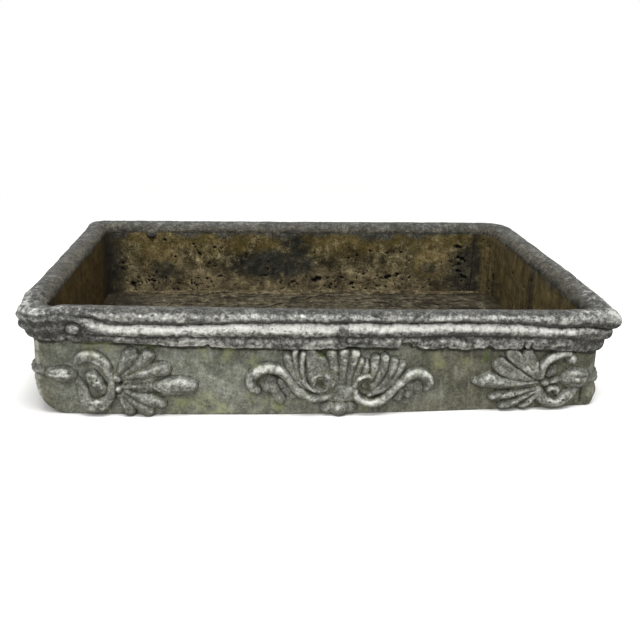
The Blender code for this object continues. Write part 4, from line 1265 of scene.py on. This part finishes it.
def corner_rim(corner, step):
    """A lumpy rim block that turns one corner."""
    side_x, side_y = sides_of(corner)
    face = "front" if side_y < 0 else "back"
    outer_radius, inner_radius, tuck_in = RIM_CORNERS[corner]
    arm = int(CORNER_BLOCK / step)
    turn = np.concatenate((np.zeros(arm), np.linspace(0, 1, 24), np.ones(arm)))[:, None]
    arm_in = np.concatenate((np.linspace(0, 1, arm + 1)[:-1], np.ones(24 + arm)))[:, None]
    arm_out = np.concatenate((np.zeros(arm + 24), np.linspace(0, 1, arm + 1)[1:]))[:, None]
    start_x = RIM_LENGTH / 2 - CORNER_BLOCK
    start_y = RIM_WIDTH / 2 - CORNER_BLOCK
    seed = 700 + len(corner)
    guide = side_x * (start_x + arm_in * CORNER_BLOCK)[:, 0]
    if face == "front":
        groove, lower, foot = rim_heights("front", guide, seed)
        groove = groove + (PLAIN_GROOVE - groove) * arm_out
        lower = lower + (PLAIN_LOWER_GROOVE - lower) * arm_out
    else:
        groove, lower, foot = rim_heights("back", guide + arm_out[:, 0] * CORNER_BLOCK, seed)
    apex = between(arm_in, 0.3, 1.0) * (1 - between(arm_out, 0.1, 1.0))
    on_left = arm_out * (side_x < 0)
    roll, swell = ROLL_DEPTH + (END_ROLL - ROLL_DEPTH) * on_left, -END_INSET * on_left * (side_y > 0)
    if corner == "front_left":
        block = 1 - between(arm_out, 0.0, 1.0)
        swell = -LEFT_SWELL * between(arm_in, 0.0, 1.0) * (1 - between(arm_out, 0.6, 1.0))
    else:
        block = 0.3 * between(arm_in, 0.0, 0.3) * (1 - between(arm_out, 0.5, 1.0))
    if corner == "front_right":
        groove = groove - CORNER_SAG * apex
    tuck = tuck_in * apex
    out, height, chalk = rim_section(groove, lower, foot, swell, block, tuck, apex * (corner == "front_left"), roll)
    radius = inner_radius + (outer_radius - inner_radius) * np.clip(out / rim_band, 0, 1)
    angle = (1 - turn) * math.pi / 2
    centre_x, centre_y = inner_x + out - radius, inner_y + out - radius
    x = centre_x + radius * np.cos(angle)
    x = np.where(arm_in < 1, start_x + (centre_x - start_x) * arm_in, x)
    y = centre_y + radius * np.sin(angle) + (start_y - centre_y) * arm_out
    points = places(side_x * x, side_y * y, height)
    chalk = chalk * chalk_share(face, guide)[:, None]
    rim_casting("rim_corner_" + corner, points, chalk, block, "rim")


def make_rim():
    for corner in RIM_CORNERS:
        corner_rim(corner, RIM_FINE if corner.startswith("front") else RIM_COARSE)
    long_reach = RIM_LENGTH / 2 - CORNER_BLOCK
    short_reach = RIM_WIDTH / 2 - CORNER_BLOCK
    joint_low, joint_high = MIDDLE_JOINT_X - MIDDLE_JOINT / 2, MIDDLE_JOINT_X + MIDDLE_JOINT / 2
    for face, sides, step, seed in (("front", ("left", "right"), RIM_FINE, 0),
                                    ("back", ("right", "left"), RIM_COARSE, 30)):
        straight_rim("rim_%s_%s" % (face, sides[0]), face, -long_reach, joint_low, step, seed=seed)
        straight_rim("rim_%s_%s" % (face, sides[1]), face, joint_high, long_reach, step, seed=seed)
        straight_rim("rim_joint_" + face, face, joint_low, joint_high, SMALL_FINE, "joint", JOINT_SWELL, seed)
    for face in ("left", "right"):
        straight_rim("rim_" + face, face, -short_reach, short_reach, MEDIUM, seed=60)


# Place of the plug, its radius and height in mm, and the patch that it is cut from
STUD_X = -184 * MM
STUD_UP = 85.2 * MM
STUD_RADIUS = 6.0
STUD_HEIGHT = 3.8
STUD_PATCH = 8 * MM


def make_stud():
    """Domed plug in the back wall, with a worn crown."""
    place = lambda along, up, out: places(along, inner_y - out, up)
    relief = lambda along, up: button(along, up, (STUD_X / MM, STUD_UP / MM), STUD_RADIUS, STUD_HEIGHT)
    span = ((STUD_X - STUD_PATCH, STUD_X + STUD_PATCH), (STUD_UP - STUD_PATCH, STUD_UP + STUD_PATCH))
    relief_casting("wall_stud", span, PLUG_FINE, relief, place, 130, plug_finish, "plug")


# Finishes

class Signal:
    """The output of one node. Sums of signals add the math nodes that work them out."""

    def __init__(self, tree, socket):
        self.tree, self.socket = tree, socket

    def next(self, kind, inputs, output=0, **settings):
        return Signal(self.tree, add_node(self.tree, kind, inputs, **settings).outputs[output])

    def __add__(self, other):
        return self.next("Math", {0: self, 1: other}, operation="ADD")

    def __sub__(self, other):
        return self.next("Math", {0: self, 1: other}, operation="SUBTRACT")

    def __mul__(self, other):
        return self.next("Math", {0: self, 1: other}, operation="MULTIPLY")

    def most(self, other):
        return self.next("Math", {0: self, 1: other}, operation="MAXIMUM")

    def step(self, low, high, to_low=0.0, to_high=1.0):
        """An eased step between two limits."""
        inputs = {0: self, 1: low, 2: high, 3: to_low, 4: to_high}
        return self.next("MapRange", inputs, interpolation_type="SMOOTHSTEP")

    def mixed(self, amount, other, blend="MIX"):
        """This colour with another mixed into it."""
        return self.next("Mix", {0: amount, 6: self, 7: other}, 2, data_type="RGBA", blend_type=blend)

    def scaled(self, amount):
        """This colour made lighter or darker."""
        return self.next("VectorMath", {0: self, "Scale": amount}, operation="SCALE")

    def stretched(self, *scale):
        """These places, scaled so that grain is drawn out where the scale is small."""
        return self.next("Mapping", {"Vector": self, "Scale": scale})

    def grain(self, scale, detail, roughness, distortion=0.0):
        inputs = {"Vector": self, "Scale": scale, "Detail": detail, "Roughness": roughness, "Distortion": distortion}
        return self.next("TexNoise", inputs, "Fac")

    def mask(self, name):
        """What the piece's own mask says at this place."""
        return self.next("Attribute", {}, "Fac", attribute_name=name)

    def through(self, effect, **values):
        """The outputs of a shared effect at this place."""
        inputs = {label.replace("_", " "): value for label, value in values.items()}
        item = add_node(self.tree, "Group", {"Vector": self, **inputs}, node_tree=effect)
        return {output.name: Signal(self.tree, output) for output in item.outputs}


def add_node(tree, kind, inputs, **settings):
    item = tree.nodes.new("ShaderNode" + kind)
    for key, value in settings.items():
        setattr(item, key, value)
    for name, value in inputs.items():
        feed(item.inputs[name], value)
    return item


def feed(socket, value):
    """Link a signal to a socket, or set the socket's plain value."""
    if isinstance(value, Signal):
        value.tree.links.new(value.socket, socket)
    else:
        socket.default_value = (*value, 1.0) if socket.type == "RGBA" else value


GREY = (0.2, 0.2, 0.2)


def new_effect(name, inputs, outputs_of):
    """A shared effect: its inputs with their plain values, and a function that works out its outputs."""
    tree = bpy.data.node_groups.new(name, "ShaderNodeTree")
    tree.interface.new_socket("Vector", in_out="INPUT", socket_type="NodeSocketVector")
    for label, value in inputs.items():
        kind = "NodeSocketColor" if isinstance(value, tuple) else "NodeSocketFloat"
        socket = tree.interface.new_socket(label, in_out="INPUT", socket_type=kind)
        socket.default_value = (*value, 1.0) if isinstance(value, tuple) else value
    entry, leave = tree.nodes.new("NodeGroupInput"), tree.nodes.new("NodeGroupOutput")
    outputs = outputs_of({label: Signal(tree, entry.outputs[label]) for label in ("Vector", *inputs)})
    for label, value in outputs.items():
        kind = "NodeSocketColor" if label == "Color" else "NodeSocketFloat"
        tree.interface.new_socket(label, in_out="OUTPUT", socket_type=kind)
        feed(leave.inputs[label], value)
    return tree


def mottling(given):
    """Cast stone in three tones, peppered with light and dark grains."""
    place = given["Vector"]
    broad, middle, fine = place.grain(26, 8, 0.68), place.grain(120, 8, 0.72), place.grain(560, 6, 0.75)
    tone = given["Dark"].mixed(broad.step(0.38, 0.6), given["Middle"])
    tone = tone.mixed(middle.step(0.46, 0.66) * given["Patches"], given["Light"])
    speckle = (fine - 0.5) * 2.0 + (middle - 0.5)
    shade = (speckle * (given["Speckle"] * 3.0) + 1.0).most(0.3)
    return {"Color": tone.scaled(shade), "Height": middle * 0.8 + fine * 0.5}


def wearing(given):
    """Chalky wear on high places, with some painted highlight, and soiling with painted shade in low ones, both broken
    up by grain.
    """
    place = given["Vector"]
    breakup = (place.grain(240, 10, 0.76) - 0.5) * 3.4 + (place.grain(90, 5, 0.6) - 0.5) * 1.2
    wear = given["High"] * given["Wear"]
    wear = (wear + breakup * (wear * 0.6 + 0.3)).step(0.05, 1.05)
    dirt_and_shade = (given["Low"] * given["Dirt"] - breakup * 0.5).step(0.15, 1.0)
    rubbed = given["Worn"].scaled(breakup * 0.34 + 0.96)
    return {"Color": given["Color"].mixed(wear, rubbed).mixed(dirt_and_shade, given["Grime"])}


def growing(given):
    """Lichen crusts and moss on stone."""
    place = given["Vector"]
    crust = (place.grain(170, 10, 0.8) + given["Lichen"] * 0.15).step(0.5, 0.82, 0.0, 0.55)
    tuft = (given["Moss"] * 0.6 + (place.grain(330, 8, 0.75) - 0.5) * 1.8).step(0.35, 0.75, 0.0, 0.85)
    return {"Color": given["Color"].mixed(crust, given["Lichen Tone"]).mixed(tuft, given["Moss Tone"])}


def air_holes(given):
    """Ragged air holes, wider than they are tall: a mask that is 1 in each hole."""
    flat = given["Vector"].stretched(1.0, 1.0, 1.8)
    more = given["Amount"] * 0.1
    large = (flat.grain(120, 4, 0.55, 0.3) + more).step(0.69, 0.73)
    small = (flat.grain(420, 3, 0.5) + more).step(0.68, 0.73)
    return {"Mask": large.most(small)}


stone_effect = new_effect(
    "cast stone body", {"Dark": GREY, "Middle": GREY, "Light": GREY, "Patches": 0.5, "Speckle": 0.5}, mottling)
# Low places take the last tone as painted shade and soiling; high places take the pale tone as chalk with some painted
# highlight
wear_effect = new_effect(
    "wear and dirt", {"Color": GREY, "High": 0.0, "Low": 0.0, "Wear": 1.0, "Dirt": 1.0, "Worn": GREY, "Grime": GREY},
    wearing)
growth_effect = new_effect(
    "lichen and moss", {"Color": GREY, "Lichen": 0.3, "Moss": 0.0, "Lichen Tone": (0.4, 0.43, 0.2),
                        "Moss Tone": (0.09, 0.125, 0.025)}, growing)
hole_effect = new_effect("ragged holes", {"Amount": 0.5}, air_holes)


def stone(place, dark, middle, light, patches, speckle):
    return place.through(stone_effect, Dark=dark, Middle=middle, Light=light, Patches=patches, Speckle=speckle)


def weathered(place, tone, wear, dirt_and_shade, worn, grime_and_shade, high=None):
    high = high or place.mask("high")
    return place.through(wear_effect, Color=tone, High=high, Low=place.mask("low"), Wear=wear, Dirt=dirt_and_shade, Worn=worn,
                         Grime=grime_and_shade)["Color"]


def wall_stone(place):
    """Grey-green outer faces, darker and browner to the right, darkened in hollows, round the ornaments and under the
    rim by painted shade, and pale lichen.
    """
    body = stone(place, (0.13, 0.137, 0.108), (0.24, 0.252, 0.21), (0.345, 0.357, 0.305), 0.45, 0.5)
    tone, crowded = body["Color"], place.mask("wide")
    tone = tone.mixed(place.mask("darker_browner"), tone.mixed(0.85, (0.55, 0.52, 0.44), "MULTIPLY"))
    brushed = place.stretched(1.0, 1.0, 0.2).grain(170, 5, 0.6)
    tone = tone.mixed(brushed.step(0.5, 0.7, 0.0, 0.3), (0.4, 0.405, 0.36))
    high = place.mask("high") * 0.2 + place.mask("arris")
    # Its last tone, in low places, is painted shade: hollows, the ground round the ornaments and a line under the rim
    tone = weathered(place, tone, 0.8, 0.9, (0.5, 0.51, 0.45), (0.04, 0.042, 0.03), high)
    grown = place.through(growth_effect, Color=tone, Lichen=crowded * 0.2 + place.mask("crust") * 1.2,
                          Moss=crowded * 0.3 + place.mask("tuft"))
    return grown["Color"], body["Height"]


def rim_stone(place):
    """Grey rim, chalk white where it is rubbed, with painted shade in its grooves and along its foot, and holes
    painted dark.
    """
    body = stone(place, (0.034, 0.0345, 0.0305), (0.061, 0.0605, 0.054), (0.113, 0.1115, 0.1), 0.5, 1.2)
    # Its last tone is painted shade in grooves, hollows and along the foot, and the open edges of the joints
    tone = weathered(place, body["Color"], 0.95, 0.9, (0.7, 0.705, 0.665), (0.03, 0.029, 0.023))
    brown = body["Color"].mixed(0.9, (0.8, 0.74, 0.58), "MULTIPLY")
    holes = place.through(hole_effect, Amount=0.25)["Mask"]
    # Painted shade: the ragged holes, only bumped, are darkened too
    tone = tone.mixed(place.mask("soil"), brown).mixed(holes * 0.85, (0.03, 0.03, 0.025))
    return tone, body["Height"] - holes * 0.6


def ornament_stone(place):
    """Ornaments: pale on their crowns with chalk and some painted highlight, dark in their creases and undersides with
    painted shade, touched with lichen.
    """
    body = stone(place, (0.095, 0.099, 0.083), (0.165, 0.168, 0.148), (0.28, 0.283, 0.257), 0.6, 0.65)
    # The pale tone is chalk with painted highlight on upward slopes; the last tone is painted shade and soiling in
    # creases and undersides
    tone = weathered(place, body["Color"], 0.69, 0.9, (0.6, 0.605, 0.555), (0.04, 0.041, 0.03))
    lichen = place.mask("low") * 0.5 + 0.05 + place.mask("crust")
    grown = place.through(growth_effect, Color=tone, Lichen=lichen, Moss=place.mask("tuft"),
                          Lichen_Tone=(0.33, 0.345, 0.16))
    return grown["Color"], body["Height"]


def inner_stone(place):
    """Inner faces stained brown and ochre by soil, slate grey in patches, with painted shade in the corners and near
    black painted shade in the holes and hollows.
    """
    body = stone(place, (0.036, 0.029, 0.013), (0.092, 0.076, 0.038), (0.19, 0.158, 0.09), 0.55, 1.25)
    slate_body = stone(place, (0.012, 0.0125, 0.01), (0.027, 0.028, 0.022), (0.085, 0.085, 0.068), 0.35, 0.7)
    grey_body = stone(place, (0.045, 0.045, 0.036), (0.08, 0.079, 0.066), (0.15, 0.148, 0.13), 0.6, 0.9)
    tone, tan, end = body["Color"], place.mask("tan"), place.mask("end")
    tone = tone.mixed(tan, tone.mixed(0.35, (0.23, 0.18, 0.105)))
    tone = tone.scaled(place.grain(40, 10, 0.74).step(0.32, 0.68, 0.3, 1.85))
    breakup = place.grain(75, 8, 0.7)
    ochre = place.mask("ochre") * breakup.step(0.3, 0.6)
    tone = tone.mixed(ochre, tone.mixed(0.62, (0.14, 0.1, 0.024)))
    tone = tone.mixed(place.mask("pale") * place.grain(170, 7, 0.72).step(0.42, 0.62), (0.29, 0.225, 0.115))
    slate = place.mask("slate") * breakup.step(0.74, 0.5)
    tone = tone.mixed(slate, slate_body["Color"]).mixed(place.mask("upper"), grey_body["Color"])
    clean = (end - slate * 0.8).most(0.0) * 0.62
    tone = tone.mixed(clean, (0.19, 0.142, 0.06)).mixed(place.mask("umber"), (0.5, 0.42, 0.26), "MULTIPLY")
    streaks = place.stretched(1.0, 1.0, 0.14).grain(240, 7, 0.72).step(0.4, 0.66, 0.15, 0.9)
    brushed = streaks * (end * 0.6 + 0.25)
    tone = tone.mixed(brushed, (0.028, 0.021, 0.008))
    shadow = place.mask("dark") * breakup.step(0.8, 0.3, 0.6, 1.0)
    tone = tone.mixed(shadow, (0.018, 0.017, 0.014))
    # Painted shade: holes and hollows are painted near black
    holes = place.through(hole_effect, Amount=tan * 0.6)["Mask"]
    tone = tone.mixed(place.mask("low").step(0.25, 0.8).most(holes), (0.006, 0.005, 0.004))
    return tone, body["Height"] - holes - brushed * 0.5


def floor_silt(place):
    """Brown silt with fibrous creases, banked up along the walls, with painted shade in its hollows and cracks and
    towards its ends.
    """
    body = stone(place, (0.02, 0.017, 0.01), (0.056, 0.048, 0.03), (0.12, 0.105, 0.07), 0.6, 0.9)
    bank = stone(place, (0.045, 0.035, 0.018), (0.085, 0.067, 0.036), (0.15, 0.12, 0.07), 0.5, 1.0)
    fibres = place.stretched(0.16, 1.0, 1.0).grain(230, 7, 0.68, 0.6)
    tone = body["Color"].mixed(fibres.step(0.5, 0.68, 0.0, 0.45), (0.05, 0.04, 0.024))
    tone = tone.mixed(place.mask("edge") * 0.85, bank["Color"])
    # Its last tone is painted shade in hollows, cracks and the crease along the walls; the dark tone after it is
    # painted shade towards the ends
    tone = weathered(place, tone, 0.15, 1.0, (0.18, 0.155, 0.11), (0.008, 0.006, 0.004))
    return tone.mixed(place.mask("dark") * 0.75, (0.016, 0.013, 0.008)), body["Height"] + fibres


def plug_mortar(place):
    """Brown mortar of the plug."""
    body = stone(place, (0.02, 0.019, 0.016), (0.036, 0.034, 0.027), (0.085, 0.08, 0.065), 0.6, 0.8)
    # Chalk with painted highlight on its upper side, painted shade and soiling in its creases and underside
    return weathered(place, body["Color"], 0.25, 1.0, (0.25, 0.24, 0.2), (0.01, 0.009, 0.006)), body["Height"]


def new_material(name, roughness, specular):
    """A material, its shader and its object's own places."""
    material = bpy.data.materials.new(name)
    material.use_nodes = True
    shader = material.node_tree.nodes["Principled BSDF"]
    feed(shader.inputs["Roughness"], roughness)
    feed(shader.inputs["Specular IOR Level"], specular)
    coordinates = add_node(material.node_tree, "TexCoord", {})
    return material, shader, Signal(material.node_tree, coordinates.outputs["Object"])


def new_finish(name, roughness, look, relief, specular=0.35):
    """A material whose colour and height a function works out, with its relief as a bump in metres."""
    material, shader, place = new_material(name, roughness, specular)
    tone, height = look(place)
    feed(shader.inputs["Base Color"], tone)
    feed(shader.inputs["Normal"], place.next("Bump", {"Strength": 1.0, "Distance": relief, "Height": height}))
    return material


wall_finish = new_finish("grey green cast stone", 0.86, wall_stone, 1.8 * MM)
rim_finish = new_finish("rubbed rim stone", 0.8, rim_stone, 1.3 * MM)
ornament_finish = new_finish("ornament stone", 0.84, ornament_stone, 1.3 * MM)
inner_finish = new_finish("soil stained stone", 0.9, inner_stone, 1.6 * MM, 0.12)
floor_finish = new_finish("silted floor", 0.93, floor_silt, 1.0 * MM, 0.12)
plug_finish = new_finish("plug mortar", 0.85, plug_mortar, 0.8 * MM)

make_base()
make_walls()
make_seams()
make_rim()
make_ornaments()
make_husks()
make_stud()


# Stage, light and camera

# Size of the floor in metres, how far off it starts to turn white and is white, its tone as a source of bounced
# light and as it is seen, and the strength of the room's light
FLOOR_SIZE = 40
WHITE_FROM, WHITE_AT = 0.45, 1.0
FLOOR_BOUNCE = (0.4, 0.38, 0.35)
FLOOR_SEEN = (0.86, 0.855, 0.84)
ROOM_GLOW = 0.42

# Lamps: name, place, what they point at and size in metres, and power in watts
LAMPS = (("window", (-0.5, -1.5, 1.5), (0, 0, 0.05), (1.4, 1.0), 18),
         ("ceiling", (0.1, -0.45, 1.8), (0, 0, 0), (1.1, 0.8), 42))


def seen_directly(tree):
    """1 for what the camera sees straight, in a mirror or through glass."""
    path = add_node(tree, "LightPath", {}).outputs
    camera, mirror, glass = (Signal(tree, path["Is %s Ray" % kind]) for kind in ("Camera", "Glossy", "Transmission"))
    return camera.most(mirror).most(glass)


def make_stage():
    """A pale floor that keeps the planter's shadow and turns white far off."""
    bpy.ops.mesh.primitive_plane_add(size=FLOOR_SIZE)
    floor = bpy.context.object
    floor.name = "pale_floor"
    material, shader, place = new_material("pale floor", 0.9, 0.5)
    tree = material.node_tree
    seen = seen_directly(tree)
    far = place.next("VectorMath", {0: place}, "Value", operation="LENGTH").step(WHITE_FROM, WHITE_AT)
    tones = {0: seen, 6: FLOOR_BOUNCE, 7: FLOOR_SEEN}
    feed(shader.inputs["Base Color"], seen.next("Mix", tones, 2, data_type="RGBA"))
    white = add_node(tree, "Emission", {})
    surfaces = {0: far * seen, 1: Signal(tree, shader.outputs[0]), 2: Signal(tree, white.outputs[0])}
    feed(tree.nodes["Material Output"].inputs["Surface"], seen.next("MixShader", surfaces))
    floor.data.materials.append(material)


def make_world():
    """Soft even light, white behind the planter."""
    world = bpy.data.worlds.new("soft room")
    bpy.context.scene.world = world
    world.use_nodes = True
    background = world.node_tree.nodes["Background"]
    feed(background.inputs["Color"], (1.0, 1.0, 1.0))
    feed(background.inputs["Strength"], seen_directly(world.node_tree).step(0.0, 1.0, ROOM_GLOW, 1.0))


def add_lamp(name, place, target, size, power):
    light = bpy.data.lights.new(name, "AREA")
    light.shape = "RECTANGLE"
    light.size, light.size_y = size
    light.energy = power
    lamp = bpy.data.objects.new(name, light)
    bpy.context.scene.collection.objects.link(lamp)
    lamp.location = place
    lamp.rotation_euler = (Vector(target) - Vector(place)).to_track_quat("-Z", "Y").to_euler()


# The photograph's viewpoint: focal length and width of the picture in pixels, place in metres and turns in degrees
FOCAL_LENGTH = 738
PICTURE_WIDTH = 640
CAMERA_PLACE = (-0.0562, -0.7295, 0.3113)
CAMERA_PITCH = 21.18
CAMERA_ROLL = 1.5
CAMERA_YAW = 5.0
SENSOR_WIDTH = 36


def make_camera():
    pitch, roll, yaw = (math.radians(turn) for turn in (CAMERA_PITCH, CAMERA_ROLL, CAMERA_YAW))
    ahead = Vector((math.sin(yaw) * math.cos(pitch), math.cos(yaw) * math.cos(pitch), -math.sin(pitch)))
    level = Vector((math.cos(yaw), -math.sin(yaw), 0))
    upward = level.cross(ahead)
    right = math.cos(roll) * level + math.sin(roll) * upward
    above = -math.sin(roll) * level + math.cos(roll) * upward
    data = bpy.data.cameras.new("camera")
    data.sensor_fit = "HORIZONTAL"
    data.sensor_width = SENSOR_WIDTH
    data.lens = SENSOR_WIDTH * FOCAL_LENGTH / PICTURE_WIDTH
    camera = bpy.data.objects.new("camera", data)
    bpy.context.scene.collection.objects.link(camera)
    camera.matrix_world = Matrix((right, above, -ahead)).transposed().to_4x4()
    camera.matrix_world.translation = Vector(CAMERA_PLACE)
    bpy.context.scene.camera = camera


make_stage()
make_world()
for lamp in LAMPS:
    add_lamp(*lamp)
make_camera()
bpy.context.scene.view_settings.view_transform = "Standard"
